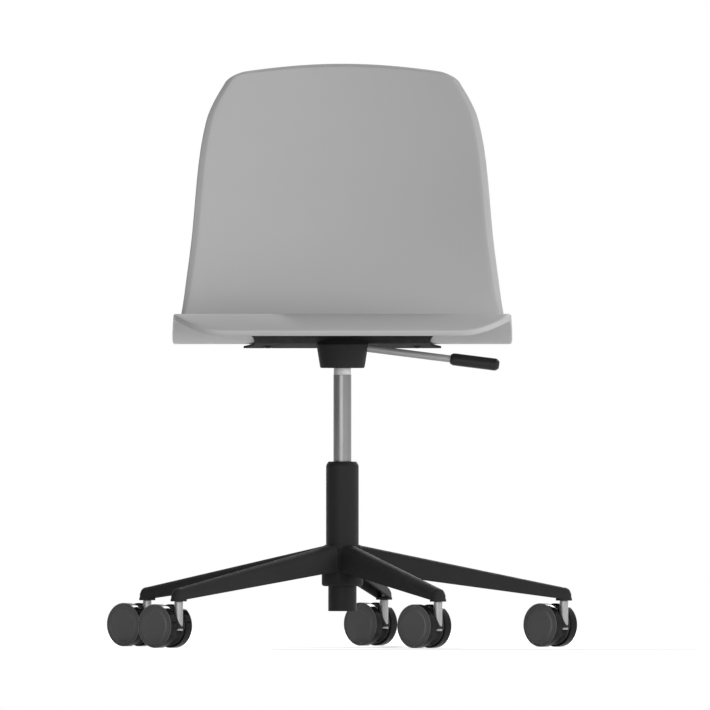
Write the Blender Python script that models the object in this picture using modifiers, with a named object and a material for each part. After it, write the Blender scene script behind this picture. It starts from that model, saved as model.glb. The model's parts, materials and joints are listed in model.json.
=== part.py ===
"""Swivel chair: a moulded one-piece shell on a gas lift, a hollow five-star base and twin-wheel casters.

Metres, +Z up, the sitter faces -Y. The origin is on the floor at the middle of the casters' footprint.
"""

import math

import bmesh
import bpy
from mathutils import Vector

MM = 0.001

# Clearance between pieces that touch, and between pieces that run past each other
GAP = 0.3 * MM
RUNNING_GAP = 0.8 * MM

# How far cutters run past the pieces they cut, and how close points are when they are one
CUT_REACH = 110.0 * MM
ONE_POINT = 0.01 * MM

# Facets round a full turn
TYRE_FACETS = 20
TUBE_FACETS = 20
SMALL_FACETS = 12
HUB_FACETS = 30

# Casters
WHEEL_R = 33.0 * MM
TREAD_WIDTH = 14.8 * MM
TYRE_WALL = 3.0 * MM
TYRE_ROUND = 1.6 * MM
TYRE_SHOULDER = 0.8 * MM
TYRE_EDGE = 0.8 * MM
FACE_R = 26.7 * MM
FACE_DOME = 0.7 * MM
WHEEL_SPACING = 20.0 * MM
AXLE_R = 4.0 * MM
AXLE_BORE = 10.0 * MM
CASTER_TRAIL = 26.6 * MM
CASTER_HEADING = math.radians(-40.0)
CORE_R = 27.0 * MM
STEM_R = 6.5 * MM
STEM_FOOT_DROP = 7.0 * MM
STEM_FOOT = 3.0 * MM
STEM_NECK_R = 5.5 * MM
STEM_NECK = 15.0 * MM
SOCKET_WALL = 2.6 * MM
SOCKET_LIP_DROP = 1.5 * MM

# Five-star base
ARM_COUNT = 5
FIRST_ARM = math.radians(7.2)
STEM_CIRCLE_R = 335.0 * MM
CUP_CLEARANCE = 3.2 * MM
CUP_R = 12.2 * MM
CUP_HEIGHT = 19.8 * MM
CUP_ROUND = 7.0 * MM
ARM_RISE = 64.0 * MM
ARM_ROOT_DEPTH = 39.5 * MM
ARM_TIP_DEPTH = 17.6 * MM
ARM_ROOT_HALF = 17.8 * MM
ARM_ROOT_SINK = 6.0 * MM
ARM_TIP_HALF = 10.9 * MM
ARM_PAST_STEM = 3.0 * MM
ARM_DRAFT = 3.2 * MM
ARM_ROUND = 6.5 * MM
ARM_WALL = 3.4 * MM
ARM_ROOF = 4.5 * MM
HUB_R = 31.0 * MM
HUB_HEIGHT = 62.0 * MM
HUB_ROUND = 2.5 * MM

# Column tube, guide and thrust bearing
TUBE_R = 24.5 * MM
TUBE_WALL = 2.2 * MM
TUBE_CHAMFER = 2.4 * MM
TUBE_SHOWING = 125.0 * MM
STUB_R = 21.3 * MM
STUB_LENGTH = 37.4 * MM
TUBE_RECESS = 5.5 * MM
TUBE_FLOOR = 4.0 * MM
GUIDE_LENGTH = 86.0 * MM
GUIDE_RECESS = 1.0 * MM
RACE_R = 15.0 * MM
RACE_THICKNESS = 2.0 * MM
BALL_R = 2.0 * MM
BALL_COUNT = 6
BALL_FACETS = 6
CAGE_THICKNESS = 1.4 * MM
CAGE_BAND = 5.6 * MM
BUMPER_R = 11.0 * MM
BUMPER_HEIGHT = 8.0 * MM

# Gas spring
LIFT_DOWN = 105.0 * MM
LIFT_UP = 12.0 * MM
LIFT_SPARE = 3.0 * MM
CYLINDER_R = 13.5 * MM
CYLINDER_WALL = 2.2 * MM
CYLINDER_SHOWING = 130.0 * MM
TAPER_STEP = 0.4 * MM
TAPER_NARROWING = 0.8 * MM
TAPER_LENGTH = 37.0 * MM
TAPER_SHOWING = 10.0 * MM
CYLINDER_HEAD = 30.0 * MM
GLAND_LENGTH = 18.0 * MM
ROD_R = 5.0 * MM
ROD_COLLAR_R = 8.5 * MM
ROD_COLLAR = 3.0 * MM
ROD_TAIL = 4.5 * MM
ROD_STUD_R = 3.5 * MM
PISTON_LENGTH = 14.0 * MM
CLIP_R = 8.5 * MM
CLIP_THICKNESS = 1.2 * MM
CLIP_GROOVE = 1.2 * MM
CLIP_MOUTH = 5.0 * MM
VALVE_R = 4.0 * MM
VALVE_DEPTH = 16.0 * MM
VALVE_STANDS = 5.0 * MM
VALVE_DOME = 1.2 * MM

# Mechanism under the seat
HOUSING_BOTTOM_R = 33.2 * MM
HOUSING_TOP_R = 38.9 * MM
HOUSING_HEIGHT = 36.5 * MM
HOUSING_ROUND = 2.5 * MM
HOUSING_LIP = 3.0 * MM
HOUSING_MOUTH = 1.5 * MM
BUSH_WALL = 4.6 * MM
LEVER_R = 5.4 * MM
LEVER_DROOP = math.radians(7.2)
LEVER_PIVOT = 26.0 * MM
LEVER_PIVOT_DROP = 1.4 * MM
PIVOT_PIN_R = 2.0 * MM
PIVOT_PIN_LENGTH = 27.0 * MM
PADDLE_THICKNESS = 3.6 * MM
PADDLE_HALF = 4.5 * MM
PADDLE_REACH = 7.0 * MM
LEVER_ROOM = 2.2 * MM
GRIP_START = 137.0 * MM
GRIP_LENGTH = 73.8 * MM
GRIP_R = 9.2 * MM
GRIP_ROUND = 3.0 * MM
GRIP_HOLD = 60.0 * MM

# Seat plate and its screws
PLATE_FRONT = 110.0 * MM
PLATE_REAR = 105.0 * MM
PLATE_BEND = -5.0 * MM
PLATE_END_HALF = 151.0 * MM
PLATE_WAIST_HALF = 131.5 * MM
PLATE_THICKNESS = 3.0 * MM
PLATE_CORNER = 9.0 * MM
PLATE_COLUMNS = 4
PLATE_ROWS = 8
PLATE_STAND_OFF = 3.2 * MM
PLATE_LEVER_GAP = 0.7 * MM
SCREW_FRONT_INSET = 20.0 * MM
SCREW_REAR_INSET = 45.0 * MM
SCREW_HALF_SPREAD = 112.0 * MM
SCREW_R = 2.5 * MM
SCREW_HEAD_R = 6.0 * MM
SCREW_HEAD = 2.6 * MM
SCREW_BITE = 3.0 * MM
BOSS_WALL = 5.5 * MM

# Shell: side line from the front edge over the crest, through the dish and heel, up to the top edge
FRONT_REACH = 224.0 * MM
SHELL_THICKNESS = 10.0 * MM
EDGE_ROUND = 3.5 * MM
EDGE_ANGLE = math.radians(50.0)
EDGE_PITCH = math.radians(35.0)
DIP_PITCH = math.radians(16.0)
CREST_R = 132.7 * MM
DISH_R = 760.0 * MM
HEEL_R = 100.0 * MM
BACK_LENGTH = 359.6 * MM
BACK_PITCH_LOW = math.radians(75.0)
BACK_PITCH_TOP = math.radians(68.0)
BACK_BOW_R = 620.0 * MM
BOW_BLEND = 150.0 * MM
FRONT_HALF = 251.0 * MM
REAR_HALF = 253.5 * MM
HEEL_HALF = 235.6 * MM
MIDDLE_HALF = 225.8 * MM
MIDDLE_UP = 71.6 * MM
SHOULDER_HALF = 203.2 * MM
SHOULDER_UP = 267.6 * MM
TOP_HALF = 158.7 * MM
TOP_CORNER = 29.3 * MM
TOP_CORNER_POWER = 2.5
TOP_CORNER_SIDE = 0.0
FRONT_CORNER = 75.0 * MM
FRONT_CORNER_POWER = 1.75
FRONT_CORNER_SIDE = 0.72
SHELL_COLUMNS = 16
CREST_ROWS = 8
DISH_ROWS = 5
HEEL_ROWS = 8
BACK_ROWS = 5
SHOULDER_ROWS = 5
TOP_ROWS = 4
SHOULDER_LENGTH = 118.0 * MM
SIDE_CROWDING = 0.25
HALVINGS = 50

# Heights, stacked up from the floor
AXLE_Z = WHEEL_R * math.cos(math.pi / TYRE_FACETS)
STEM_FOOT_Z = AXLE_Z - STEM_FOOT_DROP
SOCKET_BOTTOM_Z = STEM_FOOT_Z + STEM_FOOT
CUP_BOTTOM_Z = 2 * WHEEL_R + CUP_CLEARANCE
CUP_TOP_Z = CUP_BOTTOM_Z + CUP_HEIGHT
HUB_TOP_Z = CUP_TOP_Z + ARM_RISE
HUB_BOTTOM_Z = HUB_TOP_Z - HUB_HEIGHT
TUBE_TOP_Z = HUB_TOP_Z + TUBE_SHOWING
TUBE_BOTTOM_Z = HUB_BOTTOM_Z - STUB_LENGTH
RECESS_Z = TUBE_BOTTOM_Z + TUBE_RECESS
TUBE_FLOOR_Z = RECESS_Z + TUBE_FLOOR
LOWER_RACE_Z = TUBE_FLOOR_Z + GAP
BALL_Z = LOWER_RACE_Z + RACE_THICKNESS + GAP + BALL_R
UPPER_RACE_Z = BALL_Z + BALL_R + GAP
COLLAR_Z = UPPER_RACE_Z + RACE_THICKNESS + GAP
BUMPER_Z = COLLAR_Z + ROD_COLLAR + GAP
CYLINDER_BOTTOM_Z = BUMPER_Z + BUMPER_HEIGHT + LIFT_SPARE + LIFT_DOWN
PISTON_Z = CYLINDER_BOTTOM_Z + GLAND_LENGTH + LIFT_UP + LIFT_SPARE
GUIDE_TOP_Z = TUBE_TOP_Z - GUIDE_RECESS
GUIDE_BOTTOM_Z = GUIDE_TOP_Z - GUIDE_LENGTH
SHOULDER_Z = TUBE_TOP_Z + CYLINDER_SHOWING
HOUSING_BOTTOM_Z = SHOULDER_Z + TAPER_SHOWING
CYLINDER_TOP_Z = SHOULDER_Z + TAPER_LENGTH
VALVE_TOP_Z = CYLINDER_TOP_Z + VALVE_STANDS
PADDLE_Z = VALVE_TOP_Z + GAP
PADDLE_TOP_Z = PADDLE_Z + PADDLE_THICKNESS
PLATE_UNDER_Z = PADDLE_TOP_Z + PLATE_LEVER_GAP
PIVOT_Z = PADDLE_Z - LEVER_PIVOT_DROP

# Radii that follow from the fits
TYRE_SEAT_R = WHEEL_R - TYRE_WALL
TUBE_BORE_R = TUBE_R - TUBE_WALL
STUB_BORE_R = STUB_R - TUBE_WALL
CYLINDER_BORE_R = CYLINDER_R - CYLINDER_WALL
TAPER_BASE_R = CYLINDER_R - TAPER_STEP
TAPER_TOP_R = TAPER_BASE_R - TAPER_NARROWING
BUSH_R = TAPER_BASE_R + GAP + BUSH_WALL
SOCKET_R = STEM_R + GAP + SOCKET_WALL

# Lengths along the shell's side line
CREST_LENGTH = CREST_R * (EDGE_PITCH + DIP_PITCH)
DISH_LENGTH = DISH_R * DIP_PITCH
HEEL_LENGTH = HEEL_R * BACK_PITCH_LOW
HEEL_START = CREST_LENGTH + DISH_LENGTH
HEEL_END = HEEL_START + HEEL_LENGTH
SHELL_LENGTH = HEEL_END + BACK_LENGTH


def clear_scene():
    """Removes whatever the scene already holds."""
    for old in list(bpy.data.objects):
        bpy.data.objects.remove(old, do_unlink=True)


def new_collection(name):
    """A collection linked to the scene."""
    made = bpy.data.collections.new(name)
    bpy.context.scene.collection.children.link(made)
    return made


clear_scene()
PARTS = new_collection("swivel_chair")
HELPERS = new_collection("cutters")


def finish_material(name, colour, roughness, metallic=0.0):
    """A Principled material of one colour."""
    made = bpy.data.materials.new(name)
    made.use_nodes = True
    shader = made.node_tree.nodes["Principled BSDF"]
    shader.inputs["Base Color"].default_value = (*colour, 1.0)
    shader.inputs["Roughness"].default_value = roughness
    shader.inputs["Metallic"].default_value = metallic
    made.diffuse_color = (*colour, 1.0)
    return made


LOOKS = {
    "shell": finish_material("grey_moulding", (0.47, 0.47, 0.47), 0.55),
    "painted": finish_material("black_paint", (0.022, 0.022, 0.023), 0.45),
    "nylon": finish_material("black_nylon", (0.02, 0.02, 0.021), 0.5),
    "chrome": finish_material("chrome", (0.62, 0.62, 0.63), 0.14, 1.0),
    "steel": finish_material("bright_steel", (0.48, 0.48, 0.48), 0.3, 1.0),
    "brass": finish_material("bearing_brass", (0.55, 0.42, 0.2), 0.35, 1.0),
    "guide": finish_material("guide_nylon", (0.06, 0.06, 0.06), 0.4),
    "bumper": finish_material("bumper_rubber", (0.03, 0.03, 0.03), 0.8),
    "wheel": finish_material("wheel_nylon", (0.058, 0.058, 0.06), 0.42),
    "tyre": finish_material("tyre_gloss", (0.018, 0.018, 0.019), 0.18),
    "grip": finish_material("grip_plastic", (0.02, 0.02, 0.02), 0.4),
}


def add_axis(name, location, parent=None, turn=(0.0, 0.0, 0.0)):
    """An empty on a joint's axis or at a datum, which carries the pieces built round it."""
    axis = bpy.data.objects.new(name, None)
    axis.empty_display_size = 0.02
    axis.location = location
    axis.rotation_euler = turn
    axis.parent = parent
    PARTS.objects.link(axis)
    return axis


def add_object(name, mesh, parent, look=None):
    """A piece in the chair's collection, or with no look a hidden cutter."""
    made = bpy.data.objects.new(name, mesh)
    made.parent = parent
    if look is None:
        made.hide_render = True
        made.display_type = "WIRE"
        HELPERS.objects.link(made)
    else:
        mesh.materials.append(LOOKS[look])
        PARTS.objects.link(made)
    return made


def turned(name, profile, parent, look=None, ring=False, facets=TUBE_FACETS):
    """A turned piece from (radius, height) points that run from the top down the outer side.

    With ring, the profile closes on itself and leaves a bore round the axis.
    """
    mesh = bpy.data.meshes.new(name)
    edges = [(i, i + 1) for i in range(len(profile) - 1)]
    if ring:
        edges.append((len(profile) - 1, 0))
    mesh.from_pydata([(radius, 0.0, height) for radius, height in profile], edges, [])
    made = add_object(name, mesh, parent, look)
    spin = made.modifiers.new("Spin", "SCREW")
    spin.axis = "Z"
    spin.steps = facets
    spin.render_steps = facets
    spin.use_merge_vertices = True
    spin.merge_threshold = ONE_POINT
    spin.use_smooth_shade = True
    return made


def rod(name, radius, low, high, parent, look=None, facets=SMALL_FACETS):
    """A plain round bar or cutter from the height low to high."""
    return turned(name, [(0, high), (radius, high), (radius, low), (0, low)], parent, look, facets=facets)


def wedge(name, near, far, parent, look=None, round_top=0.0):
    """A tapered beam between two ends, each (x, y low, y high, draft, bottom z, top z).

    The draft narrows the beam towards its top, and round_top rounds its two upper edges.
    """
    made = bmesh.new()
    bmesh.ops.create_cube(made, size=2.0)
    for corner in made.verts:
        x, low, high, draft, bottom, top = far if corner.co.x > 0 else near
        inset = draft if corner.co.z > 0 else 0.0
        side = high - inset if corner.co.y > 0 else low + inset
        corner.co = (x, side, top if corner.co.z > 0 else bottom)
    if round_top:
        upper = [
            edge
            for edge in made.edges
            if all(end.co.z in (near[5], far[5]) for end in edge.verts)
            and abs(edge.verts[0].co.x - edge.verts[1].co.x) > abs(far[0] - near[0]) / 2
        ]
        bmesh.ops.bevel(made, geom=upper, offset=round_top, segments=2, profile=0.5, affect="EDGES")
    mesh = bpy.data.meshes.new(name)
    made.to_mesh(mesh)
    made.free()
    return add_object(name, mesh, parent, look)


def box(name, low, high, parent):
    """A hidden block between two corners, used as a cutter or joined to a piece."""
    return wedge(
        name,
        (low[0], low[1], high[1], 0.0, low[2], high[2]),
        (high[0], low[1], high[1], 0.0, low[2], high[2]),
        parent,
    )


def combine(piece, other, operation="DIFFERENCE"):
    """Cuts another shape from a piece, or joins it to the piece."""
    step = piece.modifiers.new(other.name, "BOOLEAN")
    step.operation = operation
    step.object = other
    step.solver = "EXACT"


def combine_all(piece, others, operation="DIFFERENCE"):
    """Cuts several shapes from a piece, or joins them to it, in one step."""
    group = bpy.data.collections.new(f"{piece.name}_{operation.lower()}")
    for other in others:
        group.objects.link(other)
    step = piece.modifiers.new(group.name, "BOOLEAN")
    step.operation = operation
    step.operand_type = "COLLECTION"
    step.collection = group
    step.solver = "EXACT"


def fixed_mesh(piece):
    """The piece's mesh with its modifiers carried out, for use in several places."""
    bpy.context.view_layer.update()
    return bpy.data.meshes.new_from_object(piece.evaluated_get(bpy.context.evaluated_depsgraph_get()))


def quarter(centre_r, centre_z, radius, start, end, points=4):
    """Points on an arc of a turned profile, between two angles in degrees."""
    turns = [math.radians(start + (end - start) * i / (points - 1)) for i in range(points)]
    return [(centre_r + radius * math.cos(a), centre_z + radius * math.sin(a)) for a in turns]


def arm_angle(number):
    """The direction of an arm; the arms are numbered from 1."""
    return FIRST_ARM + (number - 1) * math.tau / ARM_COUNT


def stem_place(number):
    """Where an arm's caster stem stands, from the column's axis."""
    angle = arm_angle(number)
    return Vector((STEM_CIRCLE_R * math.cos(angle), STEM_CIRCLE_R * math.sin(angle), 0.0))


def footprint_middle():
    """The middle of the casters' footprint, from the column's axis."""
    ahead = Vector((math.cos(CASTER_HEADING), math.sin(CASTER_HEADING), 0.0))
    across = Vector((-ahead.y, ahead.x, 0.0))
    half = WHEEL_SPACING / 2 + TREAD_WIDTH
    reach = [WHEEL_R * abs(ahead[i]) + half * abs(across[i]) for i in range(2)]
    middles = [stem_place(number) - CASTER_TRAIL * ahead for number in range(1, ARM_COUNT + 1)]
    spans = [(min(m[i] for m in middles) - reach[i], max(m[i] for m in middles) + reach[i]) for i in range(2)]
    return Vector((sum(spans[0]) / 2, sum(spans[1]) / 2, 0.0))


COLUMN = add_axis("column_axis", -footprint_middle())


def side_line(along):
    """A point of the shell's side line at a length from its front edge: (y, z, pitch), from that edge."""
    arcs = (
        (CREST_LENGTH, EDGE_PITCH, -DIP_PITCH),
        (DISH_LENGTH, -DIP_PITCH, 0.0),
        (HEEL_LENGTH, 0.0, BACK_PITCH_LOW),
        (BACK_LENGTH, BACK_PITCH_LOW, BACK_PITCH_TOP),
    )
    y = z = 0.0
    pitch = EDGE_PITCH
    for length, start, end in arcs:
        run = min(along, length)
        bend = (end - start) / length
        pitch = start + bend * run
        y += (math.sin(pitch) - math.sin(start)) / bend
        z -= (math.cos(pitch) - math.cos(start)) / bend
        along -= run
        if along <= 0:
            break
    return y, z, pitch


def seat_under(y):
    """Height of the seat's underside at a distance y behind the column, from the front edge's height."""
    low, high = 0.0, HEEL_START
    for _ in range(HALVINGS):
        middle = (low + high) / 2
        line_y, line_z, pitch = side_line(middle)
        if line_y - FRONT_REACH + SHELL_THICKNESS * math.sin(pitch) < y:
            low = middle
        else:
            high = middle
    return line_z - SHELL_THICKNESS * math.cos(pitch)


BEND_TOP = seat_under(PLATE_BEND) - PLATE_STAND_OFF
FRONT_SLOPE = (seat_under(-PLATE_FRONT) - PLATE_STAND_OFF - BEND_TOP) / (PLATE_BEND + PLATE_FRONT)
REAR_SLOPE = (BEND_TOP - seat_under(PLATE_REAR) + PLATE_STAND_OFF) / (PLATE_REAR - PLATE_BEND)
EDGE_Z = PLATE_UNDER_Z + PLATE_THICKNESS - (BEND_TOP - REAR_SLOPE * (0.0 - PLATE_BEND))


def plate_top(y):
    """Height of the seat plate's upper face."""
    slope = FRONT_SLOPE if y < PLATE_BEND else REAR_SLOPE
    return EDGE_Z + BEND_TOP - slope * (y - PLATE_BEND)


def smooth_through(stations, at):
    """A smooth curve through (position, value) stations."""
    slopes = []
    for i in range(len(stations)):
        before, after = stations[max(i - 1, 0)], stations[min(i + 1, len(stations) - 1)]
        slopes.append((after[1] - before[1]) / (after[0] - before[0]))
    i = max(k for k in range(len(stations) - 1) if k == 0 or stations[k][0] <= at)
    (x0, y0), (x1, y1) = stations[i], stations[i + 1]
    t = (at - x0) / (x1 - x0)
    blend = t * t * (3 - 2 * t)
    ease_in = t * (1 - t) ** 2 * slopes[i]
    ease_out = t * t * (t - 1) * slopes[i + 1]
    return y0 + (y1 - y0) * blend + (ease_in + ease_out) * (x1 - x0)


def shell_half(along):
    """Half the shell's width at a length along its side line, before its corners are rounded."""
    stations = (
        (0.0, FRONT_HALF),
        (HEEL_START, REAR_HALF),
        (HEEL_END, HEEL_HALF),
        (HEEL_END + MIDDLE_UP, MIDDLE_HALF),
        (HEEL_END + SHOULDER_UP, SHOULDER_HALF),
        (SHELL_LENGTH, TOP_HALF),
    )
    return smooth_through(stations, along)


def rounded(across, beyond, start, power):
    """Rounds a corner of the unit square by pulling its points in to a superellipse.

    The corner begins at the share start of the half width, and beyond runs from 0 to 1 at the outer edge.
    """
    wide = (abs(across) - start) / (1 - start)
    if beyond <= 0 or wide <= 0:
        return across, beyond
    pull = max(wide, beyond) / (wide**power + beyond**power) ** (1 / power)
    return math.copysign(start + wide * pull * (1 - start), across), beyond * pull


def row_place(share):
    """Length along the side line of a share of the grid's rows, which crowd where the line bends."""
    stretches = (
        (CREST_ROWS, CREST_LENGTH),
        (DISH_ROWS, DISH_LENGTH),
        (HEEL_ROWS, HEEL_LENGTH),
        (BACK_ROWS, BACK_LENGTH - SHOULDER_LENGTH - TOP_CORNER),
        (SHOULDER_ROWS, SHOULDER_LENGTH),
        (TOP_ROWS, TOP_CORNER),
    )
    row = share * sum(rows for rows, _ in stretches)
    along = 0.0
    for rows, length in stretches:
        along += length * min(row / rows, 1.0)
        row = max(row - rows, 0.0)
    return along


def shell_point(across, share):
    """The sitting surface at a share of its half width and of its rows."""
    along = row_place(share)
    across *= 1 + SIDE_CROWDING - SIDE_CROWDING * across * across
    across, beyond = rounded(across, 1 - along / FRONT_CORNER, FRONT_CORNER_SIDE, FRONT_CORNER_POWER)
    along = (1 - beyond) * FRONT_CORNER
    past_corner = 1 - (SHELL_LENGTH - along) / TOP_CORNER
    across, beyond = rounded(across, past_corner, TOP_CORNER_SIDE, TOP_CORNER_POWER)
    along = SHELL_LENGTH - (1 - beyond) * TOP_CORNER
    y, z, _ = side_line(along)
    x = across * shell_half(along)
    blend = min(max((along - HEEL_START) / (HEEL_LENGTH + BOW_BLEND), 0.0), 1.0)
    bow = blend * blend * (3 - 2 * blend) * x * x / (2 * BACK_BOW_R)
    return x, y - FRONT_REACH - bow, EDGE_Z + z


def shaped_grid(name, columns, rows, place, corner_r=0.0):
    """A grid whose points are moved by place(across, share), with its corners cut round if wanted."""
    made = bmesh.new()
    bmesh.ops.create_grid(made, x_segments=columns, y_segments=rows, size=1.0)
    for point in made.verts:
        point.co = place(point.co.x, (point.co.y + 1) / 2)
    if corner_r:
        corners = [point for point in made.verts if len(point.link_edges) == 2]
        bmesh.ops.bevel(made, geom=corners, offset=corner_r, segments=2, profile=0.5, affect="VERTICES")
    mesh = bpy.data.meshes.new(name)
    made.to_mesh(mesh)
    made.free()
    return mesh


def thicken(piece, thickness):
    """Gives a sheet its thickness on the side away from its normals."""
    wall = piece.modifiers.new("Wall", "SOLIDIFY")
    wall.thickness = thickness
    wall.offset = -1.0
    wall.use_even_offset = True


def screw_places():
    """(x, y, tilt) of the four seat screws, whose axes stand square to the plate's two halves."""
    front = (-PLATE_FRONT + SCREW_FRONT_INSET, -math.atan(FRONT_SLOPE))
    rear = (PLATE_REAR - SCREW_REAR_INSET, -math.atan(REAR_SLOPE))
    return [(side * SCREW_HALF_SPREAD, y, tilt) for y, tilt in (front, rear) for side in (-1, 1)]


def build_shell(screw_axes):
    """The one-piece seat and back, with a boss under it for each screw."""
    rows = CREST_ROWS + DISH_ROWS + HEEL_ROWS + BACK_ROWS + SHOULDER_ROWS + TOP_ROWS
    mesh = shaped_grid("seat_shell", SHELL_COLUMNS, rows, shell_point)
    shell = add_object("seat_shell", mesh, COLUMN, "shell")
    thicken(shell, SHELL_THICKNESS)
    edge = shell.modifiers.new("Edge", "BEVEL")
    edge.width = EDGE_ROUND
    edge.segments = 1
    edge.limit_method = "ANGLE"
    edge.angle_limit = EDGE_ANGLE
    for axis in screw_axes:
        boss = rod(f"{axis.name}_boss", SCREW_R + BOSS_WALL, GAP, PLATE_STAND_OFF + SHELL_THICKNESS / 4, axis)
        combine(shell, boss, "UNION")
    for axis in screw_axes:
        combine(shell, rod(f"{axis.name}_pilot", SCREW_R + GAP, -GAP, SCREW_BITE + PLATE_STAND_OFF, axis))


def plate_point(across, share):
    """The seat plate's upper face, with waisted sides and one bend."""
    lengthwise = 2 * share - 1
    reach = PLATE_FRONT + PLATE_BEND if lengthwise < 0 else PLATE_REAR - PLATE_BEND
    y = PLATE_BEND + lengthwise * reach
    half = PLATE_WAIST_HALF + (PLATE_END_HALF - PLATE_WAIST_HALF) * lengthwise**2
    return across * half, y, plate_top(y)


def build_plate(screw_axes):
    """The pressed steel plate under the seat, with its four screws."""
    sheet = shaped_grid("seat_plate", PLATE_COLUMNS, PLATE_ROWS, plate_point, PLATE_CORNER)
    plate = add_object("seat_plate", sheet, COLUMN, "painted")
    thicken(plate, PLATE_THICKNESS)
    for number, axis in enumerate(screw_axes, 1):
        combine(plate, rod(f"{axis.name}_hole", SCREW_R + GAP, -2 * PLATE_THICKNESS, PLATE_THICKNESS, axis))
        head = -PLATE_THICKNESS - GAP
        crown = SCREW_HEAD / 3
        profile = [
            (0, SCREW_BITE + PLATE_STAND_OFF - GAP),
            (SCREW_R, SCREW_BITE + PLATE_STAND_OFF - GAP),
            (SCREW_R, head),
            (SCREW_HEAD_R, head),
            (SCREW_HEAD_R, head - SCREW_HEAD + crown),
            (SCREW_HEAD_R - crown, head - SCREW_HEAD),
            (0, head - SCREW_HEAD),
        ]
        turned(f"plate_screw_{number}", profile, axis, "steel", facets=SMALL_FACETS)


def bush_bore(height, clearance):
    """Radius of the gas cylinder's taper at a height, with a clearance added."""
    share = (height - SHOULDER_Z) / TAPER_LENGTH
    return TAPER_BASE_R + (TAPER_TOP_R - TAPER_BASE_R) * share + clearance


def build_mechanism():
    """The conical housing under the plate, the taper bush in it, and the height lever on its pivot."""
    top = PLATE_UNDER_Z + HOUSING_HEIGHT / 2
    spread = (HOUSING_TOP_R - HOUSING_BOTTOM_R) / HOUSING_HEIGHT
    edge_r = HOUSING_BOTTOM_R + spread * HOUSING_ROUND
    bush_seat = HOUSING_BOTTOM_Z + HOUSING_LIP
    mouth = CYLINDER_R + HOUSING_MOUTH
    profile = [
        (BUSH_R + GAP, top),
        (HOUSING_BOTTOM_R + spread * (top - HOUSING_BOTTOM_Z), top),
        *quarter(edge_r - HOUSING_ROUND, HOUSING_BOTTOM_Z + HOUSING_ROUND, HOUSING_ROUND, 0, -90, points=3),
        (mouth, HOUSING_BOTTOM_Z),
        (mouth, bush_seat),
        (BUSH_R + GAP, bush_seat),
    ]
    housing = turned("mechanism_housing", profile, COLUMN, "nylon", ring=True)
    trims = (("front", FRONT_SLOPE, -CUT_REACH, 0.0), ("rear", REAR_SLOPE, 0.0, CUT_REACH))
    for half, slope, low, high in trims:
        bend_under = plate_top(PLATE_BEND) - (PLATE_THICKNESS + GAP) / math.cos(math.atan(slope))
        place = (0.0, PLATE_BEND, bend_under)
        under = add_axis(f"plate_under_{half}", place, COLUMN, (-math.atan(slope), 0.0, 0.0))
        trim_high = (CUT_REACH, high, CUT_REACH)
        combine(housing, box(f"housing_trim_{half}", (-CUT_REACH, low, 0.0), trim_high, under))
    bush_top = CYLINDER_TOP_Z - GAP
    bush = [
        (bush_bore(bush_top, GAP), bush_top),
        (BUSH_R, bush_top),
        (BUSH_R, bush_seat + GAP),
        (bush_bore(bush_seat, GAP), bush_seat + GAP),
    ]
    turned("taper_bush", bush, COLUMN, "steel", ring=True)

    lever = add_axis("lever_axis", (LEVER_PIVOT, 0.0, PIVOT_Z), COLUMN, (0.0, LEVER_DROOP, 0.0))
    along = add_axis("lever_line", (0.0, 0.0, 0.0), lever, (0.0, math.pi / 2, 0.0))
    across = add_axis("pivot_line", (LEVER_PIVOT, 0.0, PIVOT_Z), COLUMN, (math.pi / 2, 0.0, 0.0))
    slot_floor = PIVOT_Z - LEVER_R - LEVER_ROOM
    slot_half = LEVER_R + RUNNING_GAP
    slot_end = (CUT_REACH, slot_half, slot_floor + CUT_REACH)
    combine(housing, box("lever_slot", (0.0, -slot_half, slot_floor), slot_end, COLUMN))
    pin_half = PIVOT_PIN_LENGTH / 2
    combine(housing, rod("pivot_hole", PIVOT_PIN_R + GAP, -pin_half - GAP, pin_half + GAP, across))
    rod("lever_pivot_pin", PIVOT_PIN_R, -pin_half, pin_half, across, "steel")

    bar = rod("lever_rod", LEVER_R, -PIVOT_PIN_R, GRIP_START + GRIP_HOLD - GAP, along, "steel")
    paddle_end = (LEVER_PIVOT + PIVOT_PIN_R, PADDLE_HALF, PADDLE_TOP_Z)
    combine(bar, box("lever_paddle", (-PADDLE_REACH, -PADDLE_HALF, PADDLE_Z), paddle_end, COLUMN), "UNION")
    combine(bar, rod("lever_eye", PIVOT_PIN_R + GAP, -2 * LEVER_R, 2 * LEVER_R, across))
    grip_end = GRIP_START + GRIP_LENGTH
    grip = [
        *quarter(GRIP_R - GRIP_ROUND, grip_end - GRIP_ROUND, GRIP_ROUND, 90, 0),
        *quarter(GRIP_R - GRIP_ROUND, GRIP_START + GRIP_ROUND, GRIP_ROUND, 0, -90),
        (LEVER_R + GAP, GRIP_START),
        (LEVER_R + GAP, GRIP_START + GRIP_HOLD),
        (0, GRIP_START + GRIP_HOLD),
    ]
    turned("lever_grip", [(0, grip_end), *grip], along, "grip", facets=SMALL_FACETS)


def taper_r(height, clearance=0.0):
    """Outside radius of the column tube inside the hub, which narrows from the hub's top to its bottom."""
    share = (HUB_TOP_Z - height) / HUB_HEIGHT
    return TUBE_R + (STUB_R - TUBE_R) * share + clearance


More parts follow.
